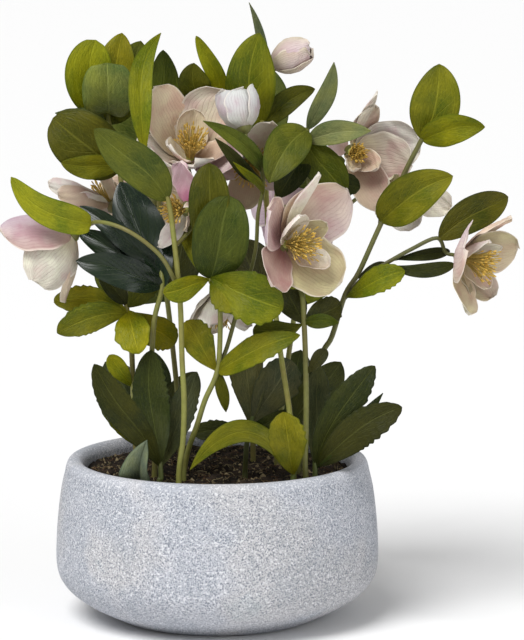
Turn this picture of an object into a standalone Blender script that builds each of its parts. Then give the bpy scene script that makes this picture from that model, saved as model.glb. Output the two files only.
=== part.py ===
# Potted hellebore: a cement bowl filled with soil, leafy flowering stems, basal leaves and nodding blooms.
import math
import random

import bmesh
import bpy
from mathutils import Matrix, Vector

# Bowl, radii and heights in millimetres
BOWL_OUTSIDE = ((66, 0), (74, 2.2), (94, 12.5), (105, 20.5), (111.6, 29.5), (114.2, 45), (111.4, 82), (107.4, 103),
                (104.6, 111), (100, 113))
BOWL_INSIDE = ((95.6, 112), (93, 107), (94.4, 97), (103, 52), (96, 24), (0, 10))
BOWL_SIDES = 34

# Soil
SOIL_TOP = 0.1035
SOIL_GAP = 0.0003
SOIL_SLACK = 1.25
SOIL_BUMP = 0.0014
SOIL_EDGE = ((0.0921, -0.001), (0.0905, 0))
SOIL_RINGS = (0.062, 0.031)
SOIL_SIDES = 20
SOIL_SEED = 7
ROOT_DEPTH = 0.022
ROOT_COLLAR = 0.003
HOLE_SIDES = 5
HOLE_RISE = 0.01

# Green parts
LEAF_THICKNESS = 0.0008
LEAF_BASE = 0.0009
STEM_RADIUS = 0.0020
BRANCH_RADIUS = 0.0015
STEM_SIDES = 5
BRANCH_SIDES = 4
LONG_SPAN = 0.05
FLAT_ANGLE = math.radians(3)

# Blooms
SEPAL_THICKNESS = 0.0008
SEPAL_BASE = 0.0014
SEPAL_FOOT = (0.0036, -0.0004)
SEPAL_TILT = 0.0018
SEPAL_CUP = 0.0009
SEPAL_CURL = 22
SEPAL_WRAP = 0.62
BUD_CURL = 46
BUD_WRAP = 0.95
INNER_FOOT = (0.0034, 0.0004)
INNER_CURL = 18
INNER_WRAP = 0.9
RECEPTACLE = ((0.0018, -0.0045), (0.0058, -0.0009), (0.0058, 0.0010))
RECEPTACLE_SIDES = 5
PEDICEL_GAP = 0.0003
PEDICEL_END = 0.007
CORE = ((0.0023, 0.0013), (0.0016, 0.0050))
CORE_SIDES = 5
STAMEN_COUNT = 5
STAMEN_START = (0.0030, 0.0008)
STAMEN_RADII = ((0, 0.0004), (0.84, 0.0008))
STAMEN_LEAN = 28
STAMEN_CLEARANCE = 14
GOLDEN_ANGLE = math.radians(137.5)

# The layout is written as the plant looks from the front, a little above level. A place is (across, up, back):
# across is from the bowl's axis to the right and up is from the table, both as they appear on the upright plane
# through the axis, and back is the depth behind that plane. All three are in steps of 0.7 mm.
STEP = 0.0007
SIGHT_LENGTH = 2.5
SIGHT_PITCH = math.radians(8.6)
SIGHT_CENTRE = (45, 292)
SIGHT_HEIGHT = 0.2103
FORWARD = Vector((0, math.cos(SIGHT_PITCH), -math.sin(SIGHT_PITCH)))
RIGHT = Vector((1, 0, 0))
UPWARD = RIGHT.cross(FORWARD)
EYE = Vector((SIGHT_CENTRE[0] * STEP, 0, SIGHT_HEIGHT)) - FORWARD * SIGHT_LENGTH

# Leaf outlines: the width along a blade is t to the first power times (1 - t) to the second
OVATE = (0.62, 0.72)
ROUND = (0.55, 0.50)
LANCE = (0.80, 0.88)
BROAD = (1.15, 0.60)
TAPER = (0.35, 0.62)
LOBE = (0.95, 0.66)
DELTA = (0.30, 0.90)
FLAT = (0.45, 0.28)
SEPAL = (0.62, 0.42)
PLAIN_ROWS = (0, 0.18, 0.50, 0.83, 1)
PLAIN_EDGE = (1, 1, 1, 1, 1)
TOOTHED_ROWS = (0, 0.30, 0.46, 0.60, 0.78, 1)
TOOTHED_EDGE = (1, 1, 1.14, 0.84, 1.16, 1)

# A petal is followed in equal steps from its foot, and these steps get a row of points
PETAL_STEPS = 20
SEPAL_ROWS = (0, 6, 12, 17, 20)
SMALL_ROWS = (0, 8, 16, 20)
SMALL_LENGTH = 60
INNER_ROWS = (0, 12, 20)


def leaf(base, tip, width, outline=OVATE, bend=0.08, sway=0.0, roll=0, fold=14, toothed=False):
    """A blade from base to tip; sway bows it clockwise as seen, roll turns it from facing the front."""
    return dict(base=base, tip=tip, width=width, outline=outline, bend=bend, sway=sway, roll=roll, fold=fold,
                toothed=toothed)


def bloom(at, facing, length, petals, inner=(), bud=False, filament=0.0235):
    """A bloom: where its sepals meet, where it faces as (right, up, front), and the length of a sepal in steps.

    Each petal is its direction round the axis, its share of the length, how far it leans from the axis, and its width
    as a share of its length.
    """
    return dict(at=at, facing=facing, length=length, petals=petals, inner=inner, bud=bud, filament=filament)


def whorl(turn, lean, width=0.95, shares=(1, 0.93, 1.03, 0.95, 0.98)):
    """Five even petals."""
    return tuple((turn + 72 * index, share, lean, width) for index, share in enumerate(shares))


# The blooms
BLOOMS = {
    "bloom_1": bloom(at=(-144, 378, -40), facing=(-0.80, -0.52, -0.10), length=74, petals=(
        (52, 1.0, 40, 0.86), (124, 0.88, 38, 0.9), (196, 0.86, 38, 0.9),
        (268, 0.92, 44, 0.50), (338, 0.90, 36, 0.95))),
    "bloom_2": bloom(at=(-27, 453, 4), facing=(0.08, 0.72, 0.68), length=76, petals=(
        (54, 0.98, 48, 1.0), (126, 1.03, 44, 0.74), (200, 0.86, 48, 0.9),
        (268, 0.72, 40, 0.9), (340, 0.86, 52, 0.8)),
        inner=((206, 0.55, 32, 0.85), (84, 0.62, 38, 0.8), (342, 0.6, 44, 0.8))),
    "bloom_3": bloom(at=(27, 484, -38), facing=(-0.22, 0.90, -0.30), length=45, bud=True,
                     petals=whorl(15, 14, 0.95)),
    "bloom_4": bloom(at=(55, 548, 34), facing=(0.90, 0.36, 0.10), length=47, bud=True,
                     petals=whorl(0, 6, 0.82)),
    "bloom_5": bloom(at=(68, 368, -62), facing=(0.66, 0.06, 0.75), length=74, petals=(
        (44, 1.06, 60, 1.0), (86, 1.12, 52, 0.26), (140, 0.86, 60, 0.8),
        (222, 0.78, 60, 0.86), (316, 0.87, 58, 1.0)),
        inner=((108, 0.58, 38, 0.95), (40, 0.60, 36, 0.7), (320, 0.62, 38, 0.62))),
    "bloom_6": bloom(at=(134, 460, 76), facing=(0.32, 0.04, 0.94), length=66, filament=0.013, petals=(
        (346, 0.92, 56, 1.0), (10, 1.04, 62, 0.8), (70, 0.80, 62, 0.5),
        (77, 1.08, 55, 0.16), (150, 0.50, 60, 0.8), (294, 1.0, 58, 0.66)),
        inner=((320, 0.52, 34, 0.9), (250, 0.42, 30, 0.8))),
    "bloom_7": bloom(at=(243, 355, -38), facing=(0.84, -0.22, 0.50), length=64, petals=(
        (74, 1.0, 50, 0.55), (18, 0.96, 48, 0.9), (156, 0.92, 60, 1.15),
        (254, 0.88, 54, 0.75), (306, 0.80, 46, 0.66)),
        inner=((40, 0.62, 34, 0.7), (300, 0.62, 34, 0.7), (110, 0.6, 36, 0.8))),
    "bloom_8": bloom(at=(-104, 406, 32), facing=(-0.80, 0.35, -0.50), length=60, petals=(
        (328, 0.82, 38, 0.95), (2, 0.94, 36, 0.42), (8, 1.14, 27, 0.3),
        (100, 0.80, 40, 0.7), (180, 0.8, 36, 0.8), (250, 0.7, 36, 0.8))),
    "bloom_9": bloom(at=(34, 450, 26), facing=(0.05, -0.05, 0.98), length=48, petals=(
        (66, 0.98, 64, 0.7), (112, 0.80, 60, 0.6), (186, 0.8, 60, 0.8),
        (258, 0.98, 64, 0.8), (330, 0.8, 62, 0.8))),
    "bloom_10": bloom(at=(0, 320, 6), facing=(0.06, -0.93, 0.20), length=50, petals=whorl(50, 34, 0.8)),
    "bloom_11": bloom(at=(-30, 403, -42), facing=(-0.78, 0.05, 0.62), length=49, filament=0.014, petals=(
        (84, 0.94, 68, 0.70), (150, 0.50, 60, 0.8), (242, 0.90, 66, 0.66),
        (300, 0.42, 60, 0.8), (10, 0.40, 50, 0.7))),
    "bloom_12": bloom(at=(184, 418, 26), facing=(0.35, -0.25, 0.90), length=46, petals=(
        (352, 1.06, 62, 0.75), (282, 0.74, 60, 1.1), (66, 0.6, 60, 0.8),
        (136, 0.6, 60, 0.8), (208, 0.7, 60, 0.8))),
    "bloom_13": bloom(at=(-62, 410, 120), facing=(-0.45, 0.15, -0.88), length=60, petals=whorl(0, 60)),
    "bloom_14": bloom(at=(70, 400, 124), facing=(0.45, -0.05, -0.88), length=60, petals=whorl(20, 60)),
}

# Flowering stems. A tube's places follow its centre line; a bloom's name at its end leads it to that bloom.
STEMS = {
    "flower_stem_1": dict(
        root=(-37, -78),
        tubes=(
            ((-37, 150, -78), (-34, 172, -76), (-33, 212, -74), (-35, 252, -72), (-37, 312, -70), (-43, 372, -66),
             (-49, 412, -66), (-60, 436, -66), (-71, 456, -58), (-72, 468, -50)),
            ((-38, 322, -69), (-52, 350, -78), (-67, 366, -82), (-87, 380, -80), (-106, 388, -70), (-121, 390, -57),
             "bloom_1"),
            ((-42, 366, -66), (-30, 378, -52), (-21, 392, -40), "bloom_11"),
        ),
        leaves=(
            leaf((-72, 460, -55), (-56, 579, 4), 25, LANCE, sway=-0.10),
            leaf((-50, 412, -66), (-123, 483, -88), 41, bend=0.1, sway=0.04),
            leaf((-126, 388, -52), (-206, 435, -86), 31, TAPER, bend=0.06, sway=-0.12),
        ),
    ),
    "flower_stem_2": dict(
        root=(-33, -50),
        tubes=(
            ((-32, 148, -50), (-28, 165, -54), (-20, 187, -62), (-12, 212, -64), (0, 240, -62), (3, 275, -58),
             (2, 312, -56), (-8, 334, -60)),
            ((0, 240, -62), (10, 265, -50), (20, 300, -42), (32, 335, -34), (39, 365, -28), (41, 398, -24),
             (46, 422, -22), (46, 440, -24)),
            ((-8, 332, -60), (-10, 350, -36), (-14, 385, -4), (-24, 428, 8), "bloom_2"),
            ((46, 434, -23), (43, 450, -30), (36, 464, -37), "bloom_3"),
            ((26, 318, -38), (18, 342, -22), (4, 344, -4), "bloom_10"),
        ),
        leaves=(
            leaf((-7, 333, -60), (-54, 319, -88), 25, BROAD, roll=-10),
            leaf((-7, 332, -60), (22, 302, -88), 32, BROAD, toothed=True),
            leaf((-7, 335, -60), (66, 303, -92), 52, BROAD, bend=0.12, roll=12, toothed=True),
            leaf((-6, 334, -60), (13, 416, -72), 58, ROUND, bend=0.10),
            leaf((-6, 334, -58), (-8, 449, -60), 43, BROAD),
            leaf((-8, 334, -57), (-34, 407, -10), 30),
            leaf((46, 438, -23), (-14, 491, -62), 18, LANCE, bend=0.10, sway=0.10),
            leaf((46, 430, -22), (-2, 474, -66), 15, LANCE, bend=0.08, sway=-0.04),
            leaf((46, 418, -23), (16, 450, -62), 9, LANCE, sway=0.06),
            leaf((1, 240, -62), (83, 277, -92), 32, toothed=True, bend=0.10, roll=-25),
            leaf((0, 240, -62), (-31, 291, -52), 32, BROAD, toothed=True),
            leaf((1, 243, -61), (9, 200, -56), 13, LANCE),
        ),
    ),
    "flower_stem_3": dict(
        root=(76, -68),
        tubes=(
            ((76, 150, -68), (74, 180, -68), (72, 205, -66), (66, 242, -62), (61, 277, -52), (58, 305, -36),
             (52, 350, 10), (50, 400, 34), (48, 450, 36), (45, 492, 22)),
            ((45, 488, 23), (46, 515, 30), (46, 532, 32), "bloom_4"),
            ((50, 400, 34), (47, 416, 44), (38, 428, 40), "bloom_9"),
            ((45, 488, 23), (26, 500, 34), (2, 516, 42), (-18, 512, 42)),
        ),
        leaves=(
            leaf((45, 488, 23), (43, 579, 8), 52, sway=-0.13, bend=0.06),
            leaf((46, 506, 28), (32, 610, 24), 11, LANCE, sway=0.07, bend=0.0),
            leaf((4, 515, 41), (-21, 576, 36), 19, TAPER, sway=0.05),
            leaf((-17, 511, 42), (-23, 549, 34), 34, sway=-0.10),
            leaf((46, 486, 24), (98, 523, 30), 25, sway=-0.08),
        ),
    ),
    "flower_stem_4": dict(
        root=(88, -84),
        tubes=(
            ((88, 150, -84), (89, 180, -83), (89, 232, -78), (87, 290, -70), (84, 322, -62), (74, 344, -52),
             "bloom_5"),
        ),
        leaves=(
            leaf((86, 288, -70), (70, 322, -52), 28, LOBE, toothed=True),
            leaf((86, 288, -70), (124, 308, -50), 28, LOBE, toothed=True),
            leaf((87, 290, -70), (122, 289, -84), 15, LANCE, sway=-0.05),
            leaf((87, 289, -70), (36, 282, -64), 24, BROAD, toothed=True, sway=-0.08),
            leaf((89, 238, -77), (110, 262, -72), 15, BROAD),
        ),
    ),
    "flower_stem_5": dict(
        root=(60, 20),
        tubes=(
            ((60, 160, 20), (64, 200, 22), (72, 260, 30), (82, 330, 34), (92, 400, 24), (90, 484, 4)),
            ((92, 398, 24), (112, 398, 72), (144, 420, 104), "bloom_6"),
        ),
        leaves=(
            leaf((90, 482, 4), (52, 429, -42), 44, bend=0.10, sway=0.08),
            leaf((90, 482, 4), (117, 550, -12), 20, LANCE, sway=0.06),
            leaf((90, 470, 7), (154, 481, -24), 25, LANCE, sway=-0.06),
            leaf((89, 470, 7), (128, 416, 2), 38, bend=0.08),
            leaf((89, 460, 9), (60, 414, -14), 32),
            leaf((91, 436, 15), (143, 424, 16), 24, BROAD, toothed=True),
        ),
    ),
    "flower_stem_6": dict(
        root=(82, -20),
        tubes=(
            ((83, 160, -20), (88, 190, -20), (94, 222, -20), (106, 260, -20), (115, 276, -20), (128, 317, -18),
             (142, 340, -14), (161, 382, -6), (188, 440, 0), (205, 473, 2)),
            ((128, 314, -18), (150, 338, -27), (168, 348, -30), (193, 362, -34), (220, 374, -37), "bloom_7"),
            ((163, 386, -5), (164, 394, 20), (172, 408, 38), "bloom_12"),
        ),
        leaves=(
            leaf((205, 472, 2), (222, 548, 6), 51, sway=0.07),
            leaf((205, 472, 2), (268, 485, -22), 34, sway=-0.10, roll=15),
            leaf((164, 390, -6), (236, 436, -34), 47, bend=0.10, sway=-0.06),
            leaf((222, 373, -37), (291, 415, 8), 36, bend=0.1, sway=-0.03),
            leaf((168, 348, -30), (238, 348, -44), 15, BROAD, sway=0.10),
            leaf((176, 352, -31), (233, 361, -20), 13, BROAD),
            leaf((128, 314, -18), (188, 341, -44), 26, BROAD, bend=0.12, roll=-15, toothed=True),
            leaf((140, 334, -16), (172, 344, -8), 20, BROAD),
        ),
    ),
    "flower_stem_7": dict(
        root=(-80, -26),
        tubes=(
            ((-81, 160, -26), (-83, 190, -28), (-84, 224, -30), (-86, 272, -30), (-91, 310, -20), (-94, 355, -2),
             (-94, 410, 8), (-99, 450, 16), (-106, 478, 34), (-110, 500, 42)),
            ((-94, 390, 5), (-94, 398, 14), "bloom_8"),
        ),
        leaves=(
            leaf((-89, 300, -25), (-163, 310, -2), 28, LOBE, toothed=True, sway=0.10),
            leaf((-88, 298, -26), (-160, 279, -52), 30, LOBE, toothed=True, sway=0.08),
            leaf((-90, 302, -23), (-78, 258, -58), 36, LOBE, toothed=True),
            leaf((-90, 304, -22), (-62, 332, -36), 24, BROAD, toothed=True),
            leaf((-88, 300, -26), (-42, 268, -4), 34, LOBE, toothed=True),
            leaf((-91, 308, -23), (-119, 344, -26), 20),
            leaf((-84, 224, -30), (-108, 257, -36), 19, BROAD),
            leaf((-98, 440, 14), (-164, 494, 8), 62, ROUND, bend=0.12),
            leaf((-99, 446, 15), (-156, 452, 2), 26),
            leaf((-109, 492, 43), (-162, 499, 22), 18, LANCE),
            leaf((-109, 496, 42), (-121, 572, 34), 52, ROUND, sway=-0.14, bend=0.10),
            leaf((-108, 498, 43), (-110, 549, 6), 54, FLAT, bend=0.18),
            leaf((-108, 498, 43), (-95, 579, 46), 44),
            leaf((-106, 488, 46), (-76, 571, 54), 46),
        ),
    ),
    "flower_stem_8": dict(
        root=(-62, -42),
        tubes=(
            ((-62, 160, -40), (-64, 190, -36), (-66, 230, -32), (-63, 290, -44), (-55, 324, -44), (-57, 352, -28)),
        ),
        leaves=(
            leaf((-55, 322, -43), (-97, 430, 8), 54, bend=0.0),
            leaf((-55, 326, -43), (-141, 351, -56), 34, bend=0.10, sway=0.04),
            leaf((-55, 336, -38), (-140, 381, -8), 28, bend=0.04),
            leaf((-56, 347, -31), (-137, 406, -10), 22),
        ),
    ),
    "flower_stem_9": dict(
        root=(-38, 40),
        tubes=(
            ((-38, 200, 44), (-46, 280, 62), (-54, 350, 84), (-58, 420, 92), (-58, 470, 96)),
            ((-54, 350, 84), (-56, 380, 96), (-60, 400, 106), "bloom_13"),
        ),
        leaves=(
            leaf((-58, 468, 96), (-112, 530, 100), 54, roll=200),
            leaf((-58, 468, 96), (-54, 562, 88), 36, roll=170),
            leaf((-50, 310, 72), (-120, 350, 96), 50, BROAD, roll=190),
            leaf((-50, 310, 72), (-34, 372, 120), 50, BROAD, roll=180),
        ),
    ),
    "flower_stem_10": dict(
        root=(36, 48),
        tubes=(
            ((36, 200, 52), (44, 280, 66), (54, 350, 86), (60, 420, 90), (62, 480, 92)),
            ((54, 350, 86), (60, 375, 98), (66, 390, 110), "bloom_14"),
        ),
        leaves=(
            leaf((62, 478, 92), (34, 550, 90), 56, roll=190),
            leaf((61, 440, 91), (128, 452, 104), 50, roll=160),
            leaf((50, 310, 76), (118, 350, 84), 50, BROAD, roll=170),
            leaf((50, 310, 76), (20, 372, 122), 50, BROAD, roll=180),
        ),
    ),
}

# Basal leaves: lobed blades on a short stalk straight from the soil
BASAL_LEAVES = {
    "basal_leaf_1": dict(
        root=(-56, -86),
        tubes=(((-56, 134, -86), (-57, 150, -85)),),
        leaves=(
            leaf((-56, 144, -85), (-123, 248, -104), 32, LOBE, toothed=True, bend=0.06, sway=0.0),
            leaf((-60, 160, -88), (-119, 224, -96), 22, LOBE, toothed=True, sway=-0.06),
            leaf((-56, 146, -85), (-66, 262, -46), 36, LOBE, toothed=True, bend=-0.08, sway=-0.04),
            leaf((-55, 146, -85), (-20, 240, -16), 28, LOBE, toothed=True, bend=-0.12),
        ),
    ),
    "basal_leaf_2": dict(
        root=(98, -72),
        tubes=(((98, 134, -72), (98, 150, -72)),),
        leaves=(
            leaf((98, 142, -72), (102, 247, -50), 29, LOBE, toothed=True, bend=-0.04),
            leaf((98, 144, -72), (158, 246, -78), 33, LOBE, toothed=True, sway=-0.06),
            leaf((99, 144, -72), (185, 205, -96), 36, LOBE, toothed=True, sway=-0.06),
            leaf((98, 144, -72), (166, 219, -84), 16, LANCE),
        ),
    ),
    "basal_leaf_3": dict(
        root=(76, -94),
        tubes=(((76, 134, -94), (77, 142, -95)),),
        leaves=(
            leaf((77, 136, -95), (66, 200, -112), 40, BROAD, toothed=True, fold=24),
            leaf((77, 136, -95), (-27, 142, -98), 26, LANCE, sway=0.50, roll=40, bend=0.02),
        ),
    ),
    "basal_leaf_4": dict(
        root=(28, -34),
        tubes=(((28, 140, -34), (30, 170, -38), (36, 196, -36)),),
        leaves=(
            leaf((34, 186, -37), (74, 252, -20), 42, BROAD, toothed=True),
            leaf((33, 184, -37), (30, 262, -14), 36, BROAD, toothed=True),
            leaf((31, 176, -38), (-24, 178, -36), 20, BROAD, toothed=True, sway=0.10),
            leaf((31, 176, -38), (70, 203, -52), 15, LANCE),
        ),
    ),
    "basal_leaf_5": dict(
        root=(-77, -90),
        tubes=(((-77, 134, -90), (-77, 139, -91)),),
        leaves=(
            leaf((-77, 134, -91), (-70, 172, -114), 40, DELTA, fold=34, roll=-24, bend=0.10),
        ),
    ),
    "basal_leaf_6": dict(
        root=(-62, 50),
        tubes=(((-62, 160, 50), (-66, 190, 58)),),
        leaves=(
            leaf((-65, 180, 56), (-112, 250, 92), 40, LOBE, roll=190, bend=-0.06),
            leaf((-65, 180, 56), (-66, 262, 104), 40, LOBE, roll=180, bend=-0.06),
            leaf((-65, 180, 56), (-20, 240, 96), 34, LOBE, roll=170, bend=-0.06),
        ),
    ),
    "basal_leaf_7": dict(
        root=(66, 52),
        tubes=(((66, 160, 52), (72, 190, 60)),),
        leaves=(
            leaf((71, 180, 58), (124, 250, 84), 40, LOBE, roll=170, bend=-0.06),
            leaf((71, 180, 58), (84, 262, 108), 40, LOBE, roll=180, bend=-0.06),
            leaf((71, 180, 58), (34, 236, 100), 34, LOBE, roll=190, bend=-0.06),
        ),
    ),
}


def material(name, colour, roughness):
    made = bpy.data.materials.new(name)
    made.use_nodes = True
    surface = made.node_tree.nodes["Principled BSDF"]
    surface.inputs["Base Color"].default_value = (*colour, 1)
    surface.inputs["Roughness"].default_value = roughness
    made.diffuse_color = (*colour, 1)
    return made


def mesh_object(name, vertices, faces):
    mesh = bpy.data.meshes.new(name)
    mesh.from_pydata(vertices, [], faces)
    mesh.update()
    made = bpy.data.objects.new(name, mesh)
    bpy.context.scene.collection.objects.link(made)
    return made


def finish(made, surface, smooth):
    made.data.materials.clear()
    made.data.materials.append(surface)
    made.data.polygons.foreach_set("use_smooth", [smooth] * len(made.data.polygons))
    made.data.update()


def seen(place):
    """The point that appears at (across, up) from the front and lies that many steps back."""
    across, up, back = place
    ray = FORWARD * SIGHT_LENGTH + RIGHT * (across - SIGHT_CENTRE[0]) * STEP + UPWARD * (up - SIGHT_CENTRE[1]) * STEP
    return EYE + ray * ((back * STEP - EYE.y) / ray.y)


def turned(profile, sides, closed_top=False):
    """Vertices and faces of a closed surface of revolution from (radius, height) pairs."""
    vertices = []
    rings = []
    for radius, height in profile:
        if radius == 0:
            rings.append([len(vertices)])
            vertices.append((0, 0, height))
            continue
        rings.append(list(range(len(vertices), len(vertices) + sides)))
        for side in range(sides):
            angle = 2 * math.pi * side / sides
            vertices.append((radius * math.cos(angle), radius * math.sin(angle), height))
    faces = [tuple(reversed(rings[0]))]
    for lower, upper in zip(rings, rings[1:]):
        for side in range(sides):
            after = (side + 1) % sides
            if len(upper) == 1:
                faces.append((lower[side], lower[after], upper[0]))
            else:
                faces.append((lower[side], lower[after], upper[after], upper[side]))
    if closed_top:
        faces.append(tuple(rings[-1]))
    return vertices, faces


def smooth_line(points):
    """Catmull-Rom line through the points with one point added in each long span."""
    line = [points[0]]
    for index in range(len(points) - 1):
        before = points[max(index - 1, 0)]
        start, end = points[index], points[index + 1]
        beyond = points[min(index + 2, len(points) - 1)]
        if (end - start).length > LONG_SPAN:
            line.append((start + end) * 0.5625 - (before + beyond) * 0.0625)
        line.append(end)
    return line


def tube(name, line, radius, sides):
    vertices = []
    faces = []
    side_way = None
    for index, point in enumerate(line):
        before = line[max(index - 1, 0)]
        beyond = line[min(index + 1, len(line) - 1)]
        along = (beyond - before).normalized()
        if side_way is None:
            side_way = RIGHT if abs(along.dot(RIGHT)) < 0.8 else Vector((0, 1, 0))
        side_way = (side_way - along * side_way.dot(along)).normalized()
        other_way = along.cross(side_way)
        for side in range(sides):
            angle = 2 * math.pi * side / sides
            vertices.append(point + side_way * radius * math.cos(angle) + other_way * radius * math.sin(angle))
    for index in range(len(line) - 1):
        for side in range(sides):
            low = index * sides + side
            low_after = index * sides + (side + 1) % sides
            faces.append((low, low_after, low_after + sides, low + sides))
    faces.append(tuple(reversed(range(sides))))
    faces.append(tuple(range(len(vertices) - sides, len(vertices))))
    return mesh_object(name, vertices, faces)


def outline_share(outline, place):
    """The share of its greatest width that an outline has at a place from base, 0, to tip, 1."""
    first, second = outline
    peak = first / (first + second)
    return (place / peak) ** first * ((1 - place) / (1 - peak)) ** second


def blade(name, spec):
    """A thin closed blade whose halves lift like a V toward its facing side."""
    base, tip = seen(spec["base"]), seen(spec["tip"])
    length = (tip - base).length
    along = (tip - base) / length
    facing = Matrix.Rotation(math.radians(spec["roll"]), 3, along) @ (EYE - base).normalized()
    facing = (facing - along * facing.dot(along)).normalized()
    bow = facing * spec["bend"] + along.cross(facing) * spec["sway"]
    fold = math.radians(spec["fold"])
    rows, edges = (TOOTHED_ROWS, TOOTHED_EDGE) if spec["toothed"] else (PLAIN_ROWS, PLAIN_EDGE)
    grid = []
    for place, edge in zip(rows, edges):
        centre = base + (along * place + bow * 4 * place * (1 - place)) * length
        if place == 1:
            grid.append([centre])
            continue
        ahead = (along + bow * (4 - 8 * place)).normalized()
        up = (facing - ahead * facing.dot(ahead)).normalized()
        half = max(spec["width"] * STEP / 2 * edge * outline_share(spec["outline"], place), LEAF_BASE)
        shift = ahead.cross(up) * half * math.cos(fold)
        lift = up * half * math.sin(fold)
        grid.append([centre - shift + lift, centre, centre + shift + lift])
    return mesh_object(name, *thickened(grid, facing, LEAF_THICKNESS))


def thickened(grid, facing, thickness):
    """Front and back faces of a strip grid, split alike, with walls round the outline."""
    front, back = [], []
    for index, row in enumerate(grid):
        before = grid[max(index - 1, 0)]
        beyond = grid[min(index + 1, len(grid) - 1)]
        if len(row) == 1:
            normals = [facing]
        else:
            normals = []
            for spot in range(len(row)):
                ahead = beyond[min(spot, len(beyond) - 1)] - before[min(spot, len(before) - 1)]
                sideways = row[min(spot + 1, len(row) - 1)] - row[max(spot - 1, 0)]
                normals.append(sideways.cross(ahead).normalized())
        for point, normal in zip(row, normals):
            if normal.dot(facing) < 0:
                normal = -normal
            front.append(point + normal * thickness / 2)
            back.append(point - normal * thickness / 2)
    count = len(front)
    faces = []
    start = 0
    outline = []
    for row, after in zip(grid, grid[1:]):
        following = start + len(row)
        outline.append((start, following))
        for spot in range(len(row) - 1):
            low, low_right = start + spot, start + spot + 1
            if len(after) == 1:
                faces.append((low, low_right, following))
            else:
                high, high_right = following + spot, following + spot + 1
                if spot < (len(row) - 1) / 2:
                    faces += [(low, low_right, high_right), (low, high_right, high)]
                else:
                    faces += [(low, low_right, high), (low_right, high_right, high)]
        start = following
    backs = [tuple(corner + count for corner in reversed(face)) for face in faces]
    edges = {}
    for face in faces:
        for here, there in zip(face, face[1:] + face[:1]):
            edges[(here, there)] = True
    walls = []
    for here, there in edges:
        if (there, here) not in edges:
            walls += [(there, here, here + count), (there, here + count, there + count)]
    return front + back, faces + backs + walls


def combine(first, others, operation):
    """Apply one Boolean with all the others to the first solid and remove them."""
    group = bpy.data.collections.new("others")
    for other in others:
        group.objects.link(other)
    change = first.modifiers.new("change", "BOOLEAN")
    change.operation = operation
    change.solver = "MANIFOLD"
    change.operand_type = "COLLECTION"
    change.collection = group
    bpy.context.view_layer.update()
    solid = bpy.data.meshes.new_from_object(first.evaluated_get(bpy.context.evaluated_depsgraph_get()))
    first.modifiers.clear()
    first.data = solid
    bpy.data.collections.remove(group)
    for other in others:
        bpy.data.objects.remove(other)


def joined(pieces):
    """One solid from overlapping solids."""
    combine(pieces[0], pieces[1:], "UNION")
    keep_largest(pieces[0].data)
    return pieces[0]


def keep_largest(mesh):
    """Fill sealed hollows, drop loose scraps and merge flat neighbours; the shell with the most faces stays."""
    shape = bmesh.new()
    shape.from_mesh(mesh)
    waiting = set(shape.faces)
    shells = []
    while waiting:
        shell = [waiting.pop()]
        for face in shell:
            for edge in face.edges:
                for neighbour in edge.link_faces:
                    if neighbour in waiting:
                        waiting.remove(neighbour)
                        shell.append(neighbour)
        shells.append(shell)
    shells.sort(key=len)
    for shell in shells[:-1]:
        bmesh.ops.delete(shape, geom=shell, context="FACES")
    bmesh.ops.dissolve_limit(shape, angle_limit=FLAT_ANGLE, verts=shape.verts, edges=shape.edges)
    bmesh.ops.triangulate(shape, faces=shape.faces)
    shape.to_mesh(mesh)
    shape.free()


def bloom_frame(spec):
    """The bloom's centre, its axis and two directions across it."""
    right, up, front = spec["facing"]
    axis = Vector((right, -front, up)).normalized()
    side = Vector((0, 0, 1)).cross(axis).normalized()
    return seen(spec["at"]), axis, side, axis.cross(side)


def placed(vertices, centre, axis, side, other):
    """Vertices round +Z set along the bloom's axis."""
    return [centre + side * x + other * y + axis * z for x, y, z in vertices]


def leafy_stem(name, spec, surface):
    """A stem with its branches and leaves as one solid."""
    pieces = []
    for index, places in enumerate(spec["tubes"]):
        line = [seen(place) for place in places if not isinstance(place, str)]
        if index == 0:
            x, y = spec["root"][0] * STEP, spec["root"][1] * STEP
            line = [Vector((x, y, SOIL_TOP - ROOT_DEPTH)), Vector((x, y, SOIL_TOP + ROOT_COLLAR))] + line
        if isinstance(places[-1], str):
            centre, axis, _, _ = bloom_frame(BLOOMS[places[-1]])
            back = centre + axis * RECEPTACLE[0][1]
            line += [back - axis * PEDICEL_END, back - axis * PEDICEL_GAP]
        size = (BRANCH_RADIUS, BRANCH_SIDES) if index else (STEM_RADIUS, STEM_SIDES)
        pieces.append(tube(f"{name}_tube_{index}", smooth_line(line), *size))
    for index, leaf_spec in enumerate(spec["leaves"]):
        pieces.append(blade(f"{name}_blade_{index}", leaf_spec))
    solid = joined(pieces)
    solid.name = name
    finish(solid, surface, False)
    return solid


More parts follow.
